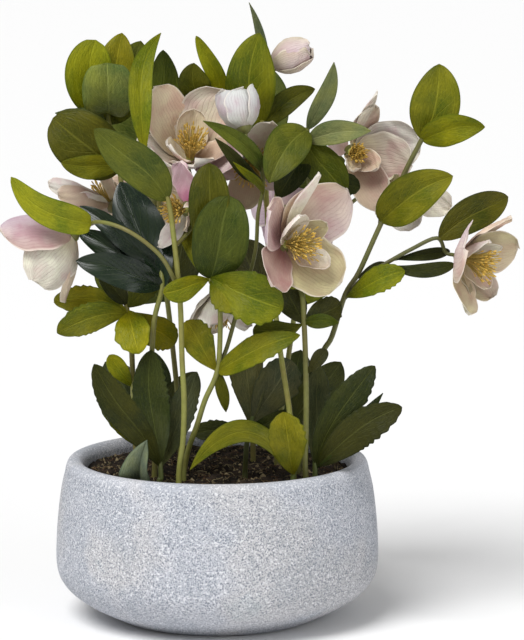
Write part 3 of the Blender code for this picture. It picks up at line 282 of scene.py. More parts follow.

# Flowering stems. A tube's places follow its centre line; a bloom's name at its end leads it to that bloom.
# The number after a stem's leaves is its shade: painted light and shade that lightens or darkens its tubes.
STEMS = {
    "flower_stem_1": stem((-37, -78), (
        ((-37, 150, -78), (-34, 172, -76), (-33, 212, -74), (-35, 252, -72), (-37, 312, -70), (-43, 372, -66),
         (-49, 412, -66), (-60, 436, -66), (-71, 456, -58), (-72, 468, -50)),
        ((-38, 322, -69), (-52, 350, -78), (-67, 366, -82), (-87, 380, -80), (-106, 388, -70), (-121, 390, -57),
         "bloom_1"),
        ((-42, 366, -66), (-30, 378, -52), (-21, 392, -40), "bloom_11"),
    ), (
        leaf((-72, 460, -55), (-56, 579, 4), 25, "lime", LANCE, sway=-0.1),
        leaf((-50, 412, -66), (-123, 483, -88), 41, "green", bend=0.1, sway=0.04),
        leaf((-126, 388, -52), (-206, 435, -86), 31, "lemon", TAPER, bend=0.06, sway=-0.12),
    ), 1.27),
    "flower_stem_2": stem((-33, -50), (
        ((-32, 148, -50), (-28, 165, -54), (-20, 187, -62), (-12, 212, -64), (0, 240, -62), (3, 275, -58),
         (2, 312, -56), (-8, 334, -60)),
        ((0, 240, -62), (10, 265, -50), (20, 300, -42), (32, 335, -34), (39, 365, -28), (41, 398, -24),
         (46, 422, -22), (46, 440, -24)),
        ((-8, 332, -60), (-10, 350, -36), (-14, 385, -4), (-24, 428, 8), "bloom_2"),
        ((46, 434, -23), (43, 450, -30), (36, 464, -37), "bloom_3"),
        ((26, 318, -38), (18, 342, -22), (4, 344, -4), "bloom_10"),
    ), (
        leaf((-7, 333, -60), (-54, 319, -88), 25, "lime", BROAD, roll=-10),
        jagged((-7, 332, -60), (22, 302, -88), 32, "moss", BROAD),
        jagged((-7, 335, -60), (66, 303, -92), 52, "moss", BROAD, bend=0.12, roll=12),
        leaf((-6, 334, -60), (13, 416, -72), 58, "forest", ROUND, bend=0.1),
        leaf((-6, 334, -58), (-8, 449, -60), 43, "olive", BROAD),
        leaf((-8, 334, -57), (-34, 407, -10), 30, "lime"),
        leaf((46, 438, -23), (-14, 491, -62), 18, "green", LANCE, bend=0.1, sway=0.1),
        leaf((46, 430, -22), (-2, 474, -66), 15, "dark", LANCE, sway=-0.04),
        leaf((46, 418, -23), (16, 450, -62), 9, "lime", LANCE, sway=0.06),
        jagged((1, 240, -62), (83, 277, -92), 32, "moss", bend=0.1, roll=-25),
        jagged((0, 240, -62), (-31, 291, -52), 32, "moss", BROAD),
        leaf((1, 243, -61), (9, 200, -56), 13, "olive", LANCE),
    )),
    "flower_stem_3": stem((76, -68), (
        ((76, 150, -68), (74, 180, -68), (72, 205, -66), (66, 242, -62), (61, 277, -52), (58, 305, -36),
         (52, 350, 10), (50, 400, 34), (48, 450, 36), (45, 492, 22)),
        ((45, 488, 23), (46, 515, 30), (46, 532, 32), "bloom_4"),
        ((50, 400, 34), (47, 416, 44), (38, 428, 40), "bloom_9"),
        ((45, 488, 23), (26, 500, 34), (2, 516, 42), (-18, 512, 42)),
    ), (
        leaf((45, 488, 23), (43, 579, 8), 52, "moss", sway=-0.13, bend=0.06),
        leaf((46, 506, 28), (32, 609.6, 24), 11, "grey", LANCE, sway=0.07, bend=0),
        leaf((4, 515, 41), (-21, 576, 36), 19, "lime", TAPER, sway=0.05),
        leaf((-17, 511, 42), (-23, 549, 34), 34, sway=-0.1),
        leaf((46, 486, 24), (98, 523, 30), 25, sway=-0.08),
    ), 1.7),
    "flower_stem_4": stem((88, -84), (
        ((88, 150, -84), (89, 180, -83), (89, 232, -78), (87, 290, -70), (84, 322, -62), (74, 344, -52),
         "bloom_5"),
    ), (
        jagged((86, 288, -70), (70, 322, -52), 28, "dark", LOBE),
        jagged((86, 288, -70), (124, 308, -50), 28, "dark", LOBE),
        leaf((87, 290, -70), (122, 289, -84), 15, "olive", LANCE, sway=-0.05),
        jagged((87, 289, -70), (36, 282, -64), 24, "olive", BROAD, sway=-0.08),
        leaf((89, 238, -77), (110, 262, -72), 15, "dark", BROAD),
    ), 0.75),
    "flower_stem_5": stem((60, 20), (
        ((60, 160, 20), (64, 200, 22), (72, 260, 30), (82, 330, 34), (92, 400, 24), (90, 484, 4)),
        ((92, 398, 24), (112, 398, 72), (144, 420, 104), "bloom_6"),
    ), (
        leaf((90, 482, 4), (52, 429, -42), 44, "green", bend=0.1, sway=0.08),
        leaf((90, 482, 4), (117, 550, -12), 20, "grey", LANCE, sway=0.06),
        leaf((90, 470, 7), (154, 481, -24), 25, "silver", LANCE, sway=-0.06),
        leaf((89, 470, 7), (128, 416, 2), 38),
        leaf((89, 460, 9), (60, 414, -14), 32, "dark"),
        jagged((91, 436, 15), (143, 424, 16), 24, "dark", BROAD),
    )),
    "flower_stem_6": stem((82, -20), (
        ((83, 160, -20), (88, 190, -20), (94, 222, -20), (106, 260, -20), (115, 276, -20), (128, 317, -18),
         (142, 340, -14), (161, 382, -6), (188, 440, 0), (205, 473, 2)),
        ((128, 314, -18), (150, 338, -27), (168, 348, -30), (193, 362, -34), (220, 374, -37), "bloom_7"),
        ((163, 386, -5), (164, 394, 20), (172, 408, 38), "bloom_12"),
    ), (
        leaf((205, 472, 2), (222, 548, 6), 51, "moss", sway=0.07),
        leaf((205, 472, 2), (268, 485, -22), 34, "lime", sway=-0.1, roll=15),
        leaf((164, 390, -6), (236, 436, -34), 47, "moss", bend=0.1, sway=-0.06),
        leaf((222, 373, -37), (291, 415, 8), 36, "olive", bend=0.1, sway=-0.03),
        leaf((168, 348, -30), (238, 348, -44), 15, "dark", BROAD, sway=0.1),
        leaf((176, 352, -31), (233, 361, -20), 13, "dark", BROAD),
        jagged((128, 314, -18), (188, 341, -44), 26, "lime", BROAD, bend=0.12, roll=-15),
        leaf((140, 334, -16), (172, 344, -8), 20, "dark", BROAD),
    ), 0.6),
    "flower_stem_7": stem((-80, -26), (
        ((-81, 160, -26), (-83, 190, -28), (-84, 224, -30), (-86, 272, -30), (-91, 310, -20), (-94, 355, -2),
         (-94, 410, 8), (-99, 450, 16), (-106, 478, 34), (-110, 500, 42)),
        ((-94, 390, 5), (-94, 398, 14), "bloom_8"),
    ), (
        jagged((-89, 300, -25), (-163, 310, -2), 28, "lime", LOBE, sway=0.1),
        jagged((-88, 298, -26), (-160, 279, -52), 30, "moss", LOBE, sway=0.08),
        jagged((-90, 302, -23), (-78, 258, -58), 36, "lime", LOBE),
        jagged((-90, 304, -22), (-62, 332, -36), 24, "olive", BROAD),
        jagged((-88, 300, -26), (-42, 268, -4), 34, "lime", LOBE),
        leaf((-91, 308, -23), (-119, 344, -26), 20, "dark"),
        leaf((-84, 224, -30), (-108, 257, -36), 19, "lime", BROAD),
        leaf((-98, 440, 14), (-164, 494, 8), 62, "olive", ROUND, bend=0.12),
        leaf((-99, 446, 12), (-156, 449, -8), 26, "moss", roll=-14),
        leaf((-109, 492, 43), (-162, 499, 22), 18, "grey", LANCE),
        leaf((-109, 496, 42), (-121, 572, 34), 52, "lime", ROUND, sway=-0.14, bend=0.1),
        leaf((-108, 498, 43), (-110, 549, 6), 54, "sage", FLAT, bend=0.18),
        leaf((-108, 498, 43), (-95, 579, 46), 44, "lime"),
        leaf((-106, 488, 46), (-76, 571, 54), 46, "olive"),
    )),
    "flower_stem_8": stem((-62, -42), (
        ((-62, 160, -40), (-64, 190, -36), (-66, 230, -32), (-63, 290, -44), (-55, 324, -44), (-57, 352, -28)),
    ), (
        leaf((-55, 322, -43), (-97, 430, 8), 54, "gloss", bend=0),
        leaf((-55, 326, -43), (-141, 351, -56), 34, "gloss", bend=0.1, sway=0.04),
        leaf((-55, 336, -38), (-140, 381, -8), 28, "gloss", bend=0.04),
        leaf((-56, 347, -31), (-137, 406, -10), 22, "gloss"),
    )),
    "flower_stem_9": stem((-38, 40), (
        ((-38, 200, 44), (-46, 280, 62), (-54, 350, 84), (-58, 420, 92), (-58, 470, 96)),
        ((-54, 350, 84), (-56, 380, 96), (-60, 400, 106), "bloom_13"),
    ), (
        leaf((-58, 468, 96), (-112, 530, 100), 54, "green", roll=200),
        leaf((-58, 468, 96), (-54, 562, 88), 36, roll=170),
        leaf((-50, 310, 72), (-120, 350, 96), 50, "olive", BROAD, roll=190),
        leaf((-50, 310, 72), (-34, 372, 120), 50, "dark", BROAD, roll=180),
    )),
    "flower_stem_10": stem((36, 48), (
        ((36, 200, 52), (44, 280, 66), (54, 350, 86), (60, 420, 90), (62, 480, 92)),
        ((54, 350, 86), (60, 375, 98), (66, 390, 110), "bloom_14"),
    ), (
        leaf((62, 478, 92), (34, 550, 90), 56, "green", roll=190),
        leaf((61, 440, 91), (128, 452, 104), 50, roll=160),
        leaf((50, 310, 76), (118, 350, 84), 50, "lime", BROAD, roll=170),
        leaf((50, 310, 76), (20, 372, 122), 50, "dark", BROAD, roll=180),
    )),
}

# Basal leaves: lobed blades on a short stalk straight from the soil
BASAL_LEAVES = {
    "basal_leaf_1": stem((-56, -86), (((-56, 134, -86), (-57, 150, -85)),), (
        jagged((-56, 144, -85), (-123, 248, -104), 32, "dark", LOBE, bend=0.06),
        jagged((-60, 160, -88), (-119, 224, -96), 22, "olive", LOBE, sway=-0.06),
        jagged((-56, 146, -85), (-66, 262, -46), 36, "dark", LOBE, bend=-0.08, sway=-0.04),
        jagged((-55, 146, -85), (-20, 240, -16), 28, "shade", LOBE, bend=-0.12),
    )),
    "basal_leaf_2": stem((98, -72), (((98, 134, -72), (98, 150, -72)),), (
        jagged((98, 142, -72), (102, 247, -50), 29, "shade", LOBE, bend=-0.04),
        jagged((98, 144, -72), (158, 246, -78), 33, "dark", LOBE, sway=-0.06),
        jagged((99, 144, -72), (185, 205, -96), 36, "dark", LOBE, sway=-0.06),
        leaf((98, 144, -72), (166, 219, -84), 16, "dark", LANCE),
    )),
    "basal_leaf_3": stem((76, -94), (((76, 134, -94), (77, 142, -95)),), (
        jagged((77, 136, -95), (66, 200, -112), 40, "moss", BROAD, fold=24),
        leaf((77, 136, -95), (-27, 142, -98), 26, "moss", LANCE, sway=0.5, roll=40, bend=0.02),
    )),
    "basal_leaf_4": stem((28, -34), (((28, 140, -34), (30, 170, -38), (36, 196, -36)),), (
        jagged((34, 186, -37), (74, 252, -20), 42, "dusk", BROAD),
        jagged((33, 184, -37), (30, 262, -14), 36, "dusk", BROAD),
        jagged((31, 176, -38), (-24, 178, -36), 20, "dark", BROAD, sway=0.1),
        leaf((31, 176, -38), (70, 203, -52), 15, "dark", LANCE),
    )),
    "basal_leaf_5": stem((-77, -90), (((-77, 134, -90), (-77, 139, -91)),), (
        leaf((-77, 134, -91), (-70, 172, -114), 40, "slate", DELTA, fold=34, roll=-24, bend=0.1),
    )),
    "basal_leaf_6": stem((-62, 50), (((-62, 160, 50), (-66, 190, 58)),), (
        leaf((-65, 180, 56), (-112, 250, 92), 40, "dark", LOBE, roll=190, bend=-0.06),
        leaf((-65, 180, 56), (-66, 262, 104), 40, "dark", LOBE, roll=180, bend=-0.06),
        leaf((-65, 180, 56), (-20, 240, 96), 34, "dark", LOBE, roll=170, bend=-0.06),
    )),
    "basal_leaf_7": stem((66, 52), (((66, 160, 52), (72, 190, 60)),), (
        leaf((71, 180, 58), (124, 250, 84), 40, "dark", LOBE, roll=170, bend=-0.06),
        leaf((71, 180, 58), (84, 262, 108), 40, "dark", LOBE, roll=180, bend=-0.06),
        leaf((71, 180, 58), (34, 236, 100), 34, "dark", LOBE, roll=190, bend=-0.06),
    )),
}


class Piece:
    """Points, faces, blade coordinates and tints of one piece, gathered part by part."""

    def __init__(self, name, node, slot, *materials):
        self.name, self.node, self.slot, self.materials = name, node, slot, materials
        self.points, self.spots, self.tints, self.faces, self.marks = [], [], [], [], []
        self.count = 0

    def add(self, points, tints, faces, mark=0, spots=(0, 0)):
        """Add a part; mark is the number of its material, spots are its places across and along a blade."""
        self.points.append(points)
        self.spots.append(np.broadcast_to(spots, (len(points), 2)))
        self.tints.append(np.broadcast_to(tints, (len(points), 3)))
        for sides in faces:
            self.faces += (sides + self.count).tolist()
            self.marks += [mark] * len(sides)
        self.count += len(points)

    def build(self):
        mesh = bpy.data.meshes.new(self.name)
        mesh.from_pydata(np.vstack(self.points), [], self.faces)
        mesh.polygons.foreach_set("material_index", self.marks)
        mesh.validate()
        mesh.shade_smooth()
        mesh.set_sharp_from_angle(angle=SHARP)
        corners = [corner for sides in self.faces for corner in sides]
        mesh.uv_layers.new(name="blade").data.foreach_set("uv", np.vstack(self.spots)[corners].ravel())
        tint = mesh.attributes.new("tint", "FLOAT_COLOR", "POINT")
        tint.data.foreach_set("color", np.insert(np.vstack(self.tints), 3, 1, axis=1).ravel())
        for material in self.materials:
            mesh.materials.append(material)
        made = linked(self.name, mesh)
        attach(made, "root")
        if self.node:
            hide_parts(self.node)


def linked(name, data):
    """A new object, in the scene."""
    made = bpy.data.objects.new(name, data)
    bpy.context.scene.collection.objects.link(made)
    return made


def unit(vectors):
    vectors = np.asarray(vectors, float)
    return vectors / np.maximum(np.linalg.norm(vectors, axis=-1, keepdims=True), 1e-12)


def rotated(vector, axis, angle):
    """The vector turned about a unit axis."""
    turned = vector * math.cos(angle) + np.cross(axis, vector) * math.sin(angle)
    return turned + axis * np.dot(axis, vector) * (1 - math.cos(angle))


def seen(place):
    """The point that appears at (across, up) from the front and lies that many steps back."""
    across, up, back = place
    ray = FORWARD * SIGHT_LENGTH + RIGHT * (across - SIGHT_CENTRE[0]) * STEP + UPWARD * (up - SIGHT_CENTRE[1]) * STEP
    return EYE + ray * ((back * STEP - EYE[1]) / ray[1])


def eased(values, low, high):
    share = np.clip((values - low) / (high - low), 0, 1)
    return share * share * (3 - 2 * share)


def outline_share(outline, place):
    """The share of its greatest width that an outline has at a place from base, 0, to tip, 1."""
    first, second = outline
    peak = first / (first + second)
    return (place / peak) ** first * ((1 - place) / (1 - peak)) ** second


def around(sides, way, other):
    """Unit vectors all round, for a ring that starts at way."""
    angles = np.linspace(0, TURN, sides, endpoint=False)[:, None]
    return way * np.cos(angles) + other * np.sin(angles)


def smooth_line(points, steps):
    """Catmull-Rom line through the points."""
    points = np.array(points)
    padded = np.vstack([2 * points[0] - points[1], points, 2 * points[-1] - points[-2]])
    line = []
    for index in range(len(points) - 1):
        a, b, c, d = padded[index:index + 4]
        for t in np.arange(steps) / steps:
            line.append(0.5 * (2 * b + (c - a) * t + (2 * a - 5 * b + 4 * c - d) * t ** 2
                               + (3 * b - a - 3 * c + d) * t ** 3))
    return np.array(line + [points[-1]])


def add_sheet(piece, grid, facing, thickness, front, back, mark):
    """A thin closed blade from a grid of points, its front toward the facing side."""
    normal = np.cross(np.gradient(grid, axis=1), np.gradient(grid, axis=0))
    if np.sum(normal @ facing) < 0:
        grid, front, back, normal = grid[:, ::-1], front[:, ::-1], back[:, ::-1], -normal[:, ::-1]
    rows, columns = grid.shape[:2]
    share = np.abs(np.linspace(-1, 1, columns))[:, None]
    half = unit(normal) * thickness / 2 * (1 - 0.5 * share ** 3)
    points = np.concatenate([grid + half, grid - half]).reshape(-1, 3)
    tints = np.concatenate([front, back]).reshape(-1, 3)
    across, along = np.meshgrid(np.linspace(0, 1, columns), np.linspace(0, 1, rows))
    spots = np.tile(np.stack([across, along], axis=-1).reshape(-1, 2), (2, 1))
    index = np.arange(rows * columns).reshape(rows, columns)
    quads = np.stack([index[:-1, :-1], index[:-1, 1:], index[1:, 1:], index[1:, :-1]], axis=-1).reshape(-1, 4)
    loop = np.concatenate([index[0, :-1], index[:-1, -1], index[-1, :0:-1], index[:0:-1, 0]])
    after = np.roll(loop, -1)
    walls = np.stack([after, loop, loop + index.size, after + index.size], axis=-1)
    piece.add(points, tints, [quads, quads[:, ::-1] + index.size, walls], mark, spots)


def add_rings(piece, rings, start, end, tints, mark=0, spots=(0, 0)):
    """A closed surface from a point at the start, through rings of points, to a point at the end."""
    rows, sides = rings.shape[:2]
    index = np.arange(rows * sides).reshape(rows, sides)
    after = np.roll(index, -1, axis=1)
    quads = np.stack([index[:-1], after[:-1], after[1:], index[1:]], axis=-1).reshape(-1, 4)
    point = np.full(sides, rows * sides)
    ends = [np.stack([point, after[0], index[0]], axis=-1), np.stack([point + 1, index[-1], after[-1]], axis=-1)]
    piece.add(np.vstack([rings.reshape(-1, 3), start, end]), tints, [quads, *ends], mark, spots)


def add_tube(piece, line, radii, sides, tints, mark=0):
    """A round tube with closed ends along a line."""
    ahead = unit(np.gradient(line, axis=0))
    way = RIGHT if abs(ahead[0] @ RIGHT) < 0.8 else np.array((0, 1.0, 0))
    rings = []
    for place, direction, radius in zip(line, ahead, np.broadcast_to(radii, len(line))):
        way = unit(way - direction * (way @ direction))
        rings.append(place + around(sides, way, np.cross(direction, way)) * radius)
    along, across = np.meshgrid(np.linspace(0, 1, len(line)), np.linspace(0, 1, sides), indexing="ij")
    spots = np.vstack([np.stack([across, along], axis=-1).reshape(-1, 2), np.zeros((2, 2))])
    if np.ndim(tints) == 2:
        tints = np.vstack([np.repeat(tints, sides, axis=0), tints[:1], tints[-1:]])
    add_rings(piece, np.array(rings), line[0], line[-1], tints, mark, spots)


def add_lathe(piece, profile, centre, axis, side, other, sides, tint, mark=0):
    """A closed surface of revolution; the profile starts and ends on the axis."""
    radii, heights = np.array(profile).T[:, :, None, None]
    rings = centre + axis * heights + around(sides, side, other) * radii
    add_rings(piece, rings[1:-1], rings[0, 0], rings[-1, 0], tint, mark)


def add_leaf(piece, spec, draw):
    base, tip = seen(spec["base"]), seen(spec["tip"])
    length = np.linalg.norm(tip - base)
    along = (tip - base) / length
    facing = rotated(unit(EYE - base), along, math.radians(spec["roll"]))
    facing = unit(facing - along * np.dot(facing, along))
    across = np.cross(along, facing)
    bow = facing * spec["bend"] + across * spec["sway"]
    fold = math.radians(spec["fold"] + draw.uniform(-4, 6))
    rows, columns = TOOTHED_GRID if spec["toothed"] else LEAF_GRID
    place = np.linspace(0, 1, rows)[:, None]
    side = np.linspace(-1, 1, columns)[None, :]
    snake = across * draw.uniform(-0.02, 0.02) * np.sin(place * TURN)
    centre = base + (along * place + bow * 4 * place * (1 - place) + snake) * length
    ahead = unit(along + bow * (4 - 8 * place))
    up = unit(facing - ahead * (ahead @ facing)[:, None])
    half = spec["width"] * STEP / 2 * outline_share(spec["outline"], place)
    if spec["toothed"]:
        teeth = max(6, round(length / TOOTH_LENGTH))
        phase = (place * teeth + draw.uniform(0, 1) + 0.35 * np.sin(place * 11 + draw.uniform(0, LAST_PHASE))) % 1
        tooth = np.minimum(phase / 0.7, (1 - phase) / 0.3) - 0.4
        half = half * (1 + TOOTH_DEPTH * eased(place, 0.35, 0.65) * tooth * (1 + 0.3 * np.sign(side)))
    half = np.maximum(half, LEAF_BASE * (1 - 0.75 * place)) * (1 + draw.uniform(-0.07, 0.07) * side)
    ripple = draw.uniform(0.05, 0.13) * np.sin(place * draw.uniform(6, 11) + side * 1.1 + draw.uniform(0, LAST_PHASE))
    swell = draw.uniform(0.02, 0.05) * np.sin(place * 15 + side * 3 + draw.uniform(0, LAST_PHASE))
    sag = draw.uniform(-0.22, 0.22) * (place - 0.3) + draw.uniform(-0.10, 0.10)
    bulge = 1.3 * (np.abs(side) - 0.38 * side ** 2)
    lift = half * (math.sin(fold) * bulge + ripple * side ** 2 + swell * np.abs(side) + sag * side)
    shift = half * side * math.cos(fold)
    grid = centre[:, None] + np.cross(ahead, up)[:, None] * shift[..., None] + up[:, None] * lift[..., None]
    change = np.array([draw.uniform(0.90, 1.10), draw.uniform(0.92, 1.10), draw.uniform(0.8, 1.2)])
    fade = (1 + draw.uniform(-0.16, 0.16) * side + draw.uniform(-0.1, 0.3) * (place - 0.5))[..., None]
    front, back = (np.array(tint) * change * fade for tint in TONES[spec["tone"]])
    add_sheet(piece, grid, facing, LEAF_THICKNESS, front, back, 1 if spec["tone"] == "gloss" else 0)


def add_petal(piece, bloom_axes, petal, length, stance, draw):
    """A cupped blade that leans from the bloom's axis, tilted so that each overlaps the next."""
    centre, axis, side, other = bloom_axes
    turn, share, lean, width, tint = petal
    curl, flare, wrap, outline, (radius, height), tilt = stance
    angle, reach, lean = math.radians(turn), length * share, math.radians(lean)
    width = reach * width
    radial = side * math.cos(angle) + other * math.sin(angle)
    tangent = other * math.cos(angle) - side * math.sin(angle)
    rows, columns = SEPAL_GRID
    shares = np.linspace(1, -1, columns)
    ruffle, phase = draw.uniform(0.0008, 0.0019), draw.uniform(0, LAST_PHASE)
    cup = SEPAL_CUP * draw.uniform(0.6, 1.8)
    twist = draw.uniform(-0.10, 0.10)
    grid = []
    for step in range(rows):
        place = step / (rows - 1)
        slope = lean + math.radians(curl * (1 - 2 * place) + flare * max(0, place - FLARE_FROM) / (1 - FLARE_FROM))
        if step:
            radius += reach / (rows - 1) * math.sin(slope)
            height += reach / (rows - 1) * math.cos(slope)
        half = max(width / 2 * outline_share(outline, place), SEPAL_BASE * (1 - 0.7 * place))
        half = half * (1 + 0.035 * math.sin(place * 17 + phase))
        arc = max(radius, SMALLEST_ARC) / wrap
        turns = (shares * half / arc)[:, None]
        ways = radial * np.cos(turns) + tangent * np.sin(turns)
        inward = axis * math.sin(slope) - ways * math.cos(slope)
        wave = ruffle * np.sin(shares * 5 + place * 9 + phase) * np.abs(shares) ** 1.5 * place
        wave = wave + ruffle * 0.35 * np.sin(shares * 11 + place * 21 + phase) * place
        lift = (tilt + twist * half * place) * shares * min(1, place * 4) + cup * shares ** 2 + wave
        lift = lift - SEPAL_MIDRIB * np.exp(-(shares / 0.16) ** 2) * math.sin(math.pi * place)
        grid.append(centre + radial * (radius - arc) + axis * height + ways * arc + inward * lift[:, None])
    shares = shares[None, :, None]
    place = np.linspace(0, 1, rows)[:, None, None]
    tints = zip(*(PETALS[one] for one in (tint.split()[0], tint.split()[-1])))
    inside, outside, deep = (np.array(one) * (1 + shares) / 2 + np.array(two) * (1 - shares) / 2 for one, two in tints)
    throat = (1 - eased(place, 0.05, 0.62)) * (1 - 0.35 * np.abs(shares))
    tone = draw.uniform(0.93, 1.07) * (1 + draw.uniform(-0.12, 0.12) * shares)
    front = (inside * (1 - throat) + deep * throat) * tone
    rear = (outside * (1 - throat * 0.8) + deep * throat * 0.8) * tone
    add_sheet(piece, np.array(grid), axis * math.sin(lean) - radial * math.cos(lean), SEPAL_THICKNESS, front, rear, 0)


def axes(spec):
    """The bloom's centre, its axis and two directions across it."""
    right, up, front = spec["facing"]
    axis = unit((right, -front, up))
    side = unit(np.cross((0, 0, 1), axis))
    return seen(spec["at"]), axis, side, np.cross(axis, side)


def leafy_stem(name, spec, slot, tint):
    """A stem or stalk with its branches and blades."""
    draw = random.Random(name)
    piece = Piece(f"{name}_leafy", name, slot, LEAF, GLOSS, STEM)
    for index, places in enumerate(spec["tubes"]):
        line = [seen(place) for place in places if not isinstance(place, str)]
        if index == 0:
            x, y = np.array(spec["root"]) * STEP
            line = [np.array((x, y, z)) for z in (SOIL_TOP - ROOT_DEPTH, SOIL_TOP + ROOT_COLLAR)] + line
        if isinstance(places[-1], str):
            centre, axis, _, _ = axes(BLOOMS[places[-1]])
            back = centre + axis * RECEPTACLE[0][1]
            line += [back - axis * BLOOM_NECK, back]
        line = smooth_line(line, TUBE_STEPS)
        radius, colour = (BRANCH_RADIUS, BRANCH_TINT) if index else (STEM_RADIUS, tint)
        share = np.linspace(0, 1, len(line))
        # shade lightens or darkens the tube colour stem by stem: painted light and shade
        tints = np.array(colour) * spec["shade"] * (0.92 + 0.25 * share[:, None] * np.array((0.6, 0.8, 0.4)))
        add_tube(piece, line, radius * (1.04 - 0.16 * share), TUBE_SIDES, tints, 2)
    for leaf_spec in spec["leaves"]:
        add_leaf(piece, leaf_spec, draw)
    piece.build()


def sepals(name, spec):
    draw = random.Random(name)
    piece = Piece(f"{name}_petals", f"{name}_sepals", "sepal_pink", PETAL, STEM)
    add_lathe(piece, RECEPTACLE, *axes(spec), RECEPTACLE_SIDES, BRANCH_TINT, 1)
    for petals, stance in ((spec["petals"], CLOSED_SEPAL if spec["bud"] else OPEN_SEPAL), (spec["inner"], INNER_PETAL)):
        for petal in petals:
            add_petal(piece, axes(spec), petal, spec["length"] * STEP, stance, draw)
    piece.build()


def stamens(name, spec):
    """Fine curved filaments with golden anthers round a few pale styles."""
    draw = random.Random(f"{name} stamens")
    centre, axis, side, other = axes(spec)
    piece = Piece(f"{name}_anthers", f"{name}_stamens", "stamen_gold", STAMEN)
    add_lathe(piece, STYLES, centre, axis, side, other, STYLE_SIDES, STYLE_TINT)
    widest = math.radians(min([WIDEST_STAMEN] + [petal[2] - 10 for petal in spec["inner"]]))
    for index in range(STAMENS):
        angle, share = index * GOLDEN_ANGLE, math.sqrt((index + 0.5) / STAMENS)
        radial = side * math.cos(angle) + other * math.sin(angle)
        lean = widest * share * draw.uniform(0.85, 1.12)
        reach = spec["filament"] * draw.uniform(0.62, 1.02)
        place = np.linspace(0, 1, 4)[:, None]
        leans = lean * (0.55 + 0.55 * place)
        line = centre + (axis + radial * share) * STAMEN_FOOT
        line = line + (axis * np.cos(leans) + radial * np.sin(leans)) * reach * place
        add_tube(piece, line, FILAMENT_RADIUS, 4, FILAMENT_TINT * draw.uniform(0.7, 1.25))
        end = unit(line[-1] - line[-2] + np.array([draw.uniform(-0.5, 0.5) for _ in range(3)]) * ANTHER_STRAY)
        anther = line[-1] + end * ANTHER_PLACES[:, None]
        add_tube(piece, anther, ANTHER_RADII, 5, ANTHER_TINT * draw.uniform(0.7, 1.25))
    piece.build()


def bowl():
    piece = Piece("bowl", "pot", "cement", CEMENT)
    profile = np.array(BOWL_OUTSIDE + BOWL_INSIDE)
    profile = np.vstack([profile[:2], smooth_line(profile[2:-2], BOWL_STEPS), profile[-2:]])
    x, y, z = np.eye(3)
    add_lathe(piece, profile, np.zeros(3), z, x, y, BOWL_SIDES, BOWL_TINT)
    piece.build()


def soil_height(x, y):
    """The soil's surface: clods and hollows by sums of waves."""
    height = 0.0011 * np.sin(x * 160 + 1.3) * np.sin(y * 190 + 0.4) + 0.0009 * np.sin(x * 340 - y * 260 + 2)
    height += 0.0006 * np.sin(x * 700 + 3 * np.sin(y * 300)) * np.sin(y * 640 + 2 * np.sin(x * 410))
    return SOIL_LEVEL + height


def soil():
    draw = random.Random(7)
    piece = Piece("soil_bed", "soil", "earth", EARTH)
    radii = np.concatenate([np.linspace(SOIL_HUB, SOIL_RADIUS, SOIL_RINGS), [radius for radius, _ in SOIL_UNDER[:-1]]])
    points = around(SOIL_SIDES, *np.eye(3)[:2]) * radii[:, None, None]
    rough = np.array([[draw.uniform(-SOIL_ROUGH, SOIL_ROUGH) for _ in range(SOIL_SIDES)] for _ in radii])
    points[..., 2] = soil_height(points[..., 0], points[..., 1]) + rough
    points[SOIL_RINGS:, :, 2] = [[height] for _, height in SOIL_UNDER[:-1]]
    add_rings(piece, points[::-1], (0, 0, SOIL_UNDER[-1][1]), (0, 0, SOIL_TOP), SOIL_TINT)
    piece.build()


def soil_spot(draw):
    radius = (SOIL_RADIUS - SPOT_EDGE) * math.sqrt(draw.random())
    angle = draw.uniform(0, TURN)
    x, y = radius * math.cos(angle), radius * math.sin(angle)
    return np.array((x, y, soil_height(x, y)))


def crumbs():
    """Small clods and chips lying on the soil."""
    draw = random.Random(11)
    piece = Piece("soil_crumbs", None, "earth", EARTH_TINTED)
    for _ in range(CRUMBS):
        size = CRUMB_SIZE + CRUMB_GROWTH * draw.random() ** 4
        stretch = np.array([draw.uniform(0.6, 1.3) for _ in range(3)])
        turn = draw.uniform(0, LAST_PHASE)
        shape = CRUMB_CORNERS * stretch + np.array([[draw.uniform(-0.3, 0.3) for _ in range(3)] for _ in range(6)])
        spin = np.array(((math.cos(turn), -math.sin(turn), 0), (math.sin(turn), math.cos(turn), 0), (0, 0, 1)))
        tint = CRUMB_TINT * draw.choice(CRUMB_LIGHTS)
        piece.add(shape * size @ spin.T + soil_spot(draw), tint, [CRUMB_FACES])
    piece.build()


def fibres():
    """Curled reddish and straw-coloured fibres on the soil."""
    draw = random.Random(13)
    piece = Piece("soil_fibres", None, "earth", EARTH_TINTED)
    for _ in range(FIBRES):
        place = soil_spot(draw)[:2]
        angle = draw.uniform(0, TURN)
        bend = draw.uniform(-0.9, 0.9)
        line = []
        for step in range(FIBRE_STEPS):
            place = place + np.array((math.cos(angle), math.sin(angle))) * FIBRE_STEP
            angle += bend * draw.uniform(0.3, 1)
            place *= min(1, (SOIL_RADIUS - FIBRE_EDGE) / math.hypot(*place))
            rise = FIBRE_LIE + FIBRE_ARCH * math.sin(math.pi * step / (FIBRE_STEPS - 1)) * draw.random()
            line.append((*place, soil_height(*place) + rise))
        add_tube(piece, np.array(line), FIBRE_RADIUS, 3, draw.choice(FIBRE_TINTS))
    piece.build()


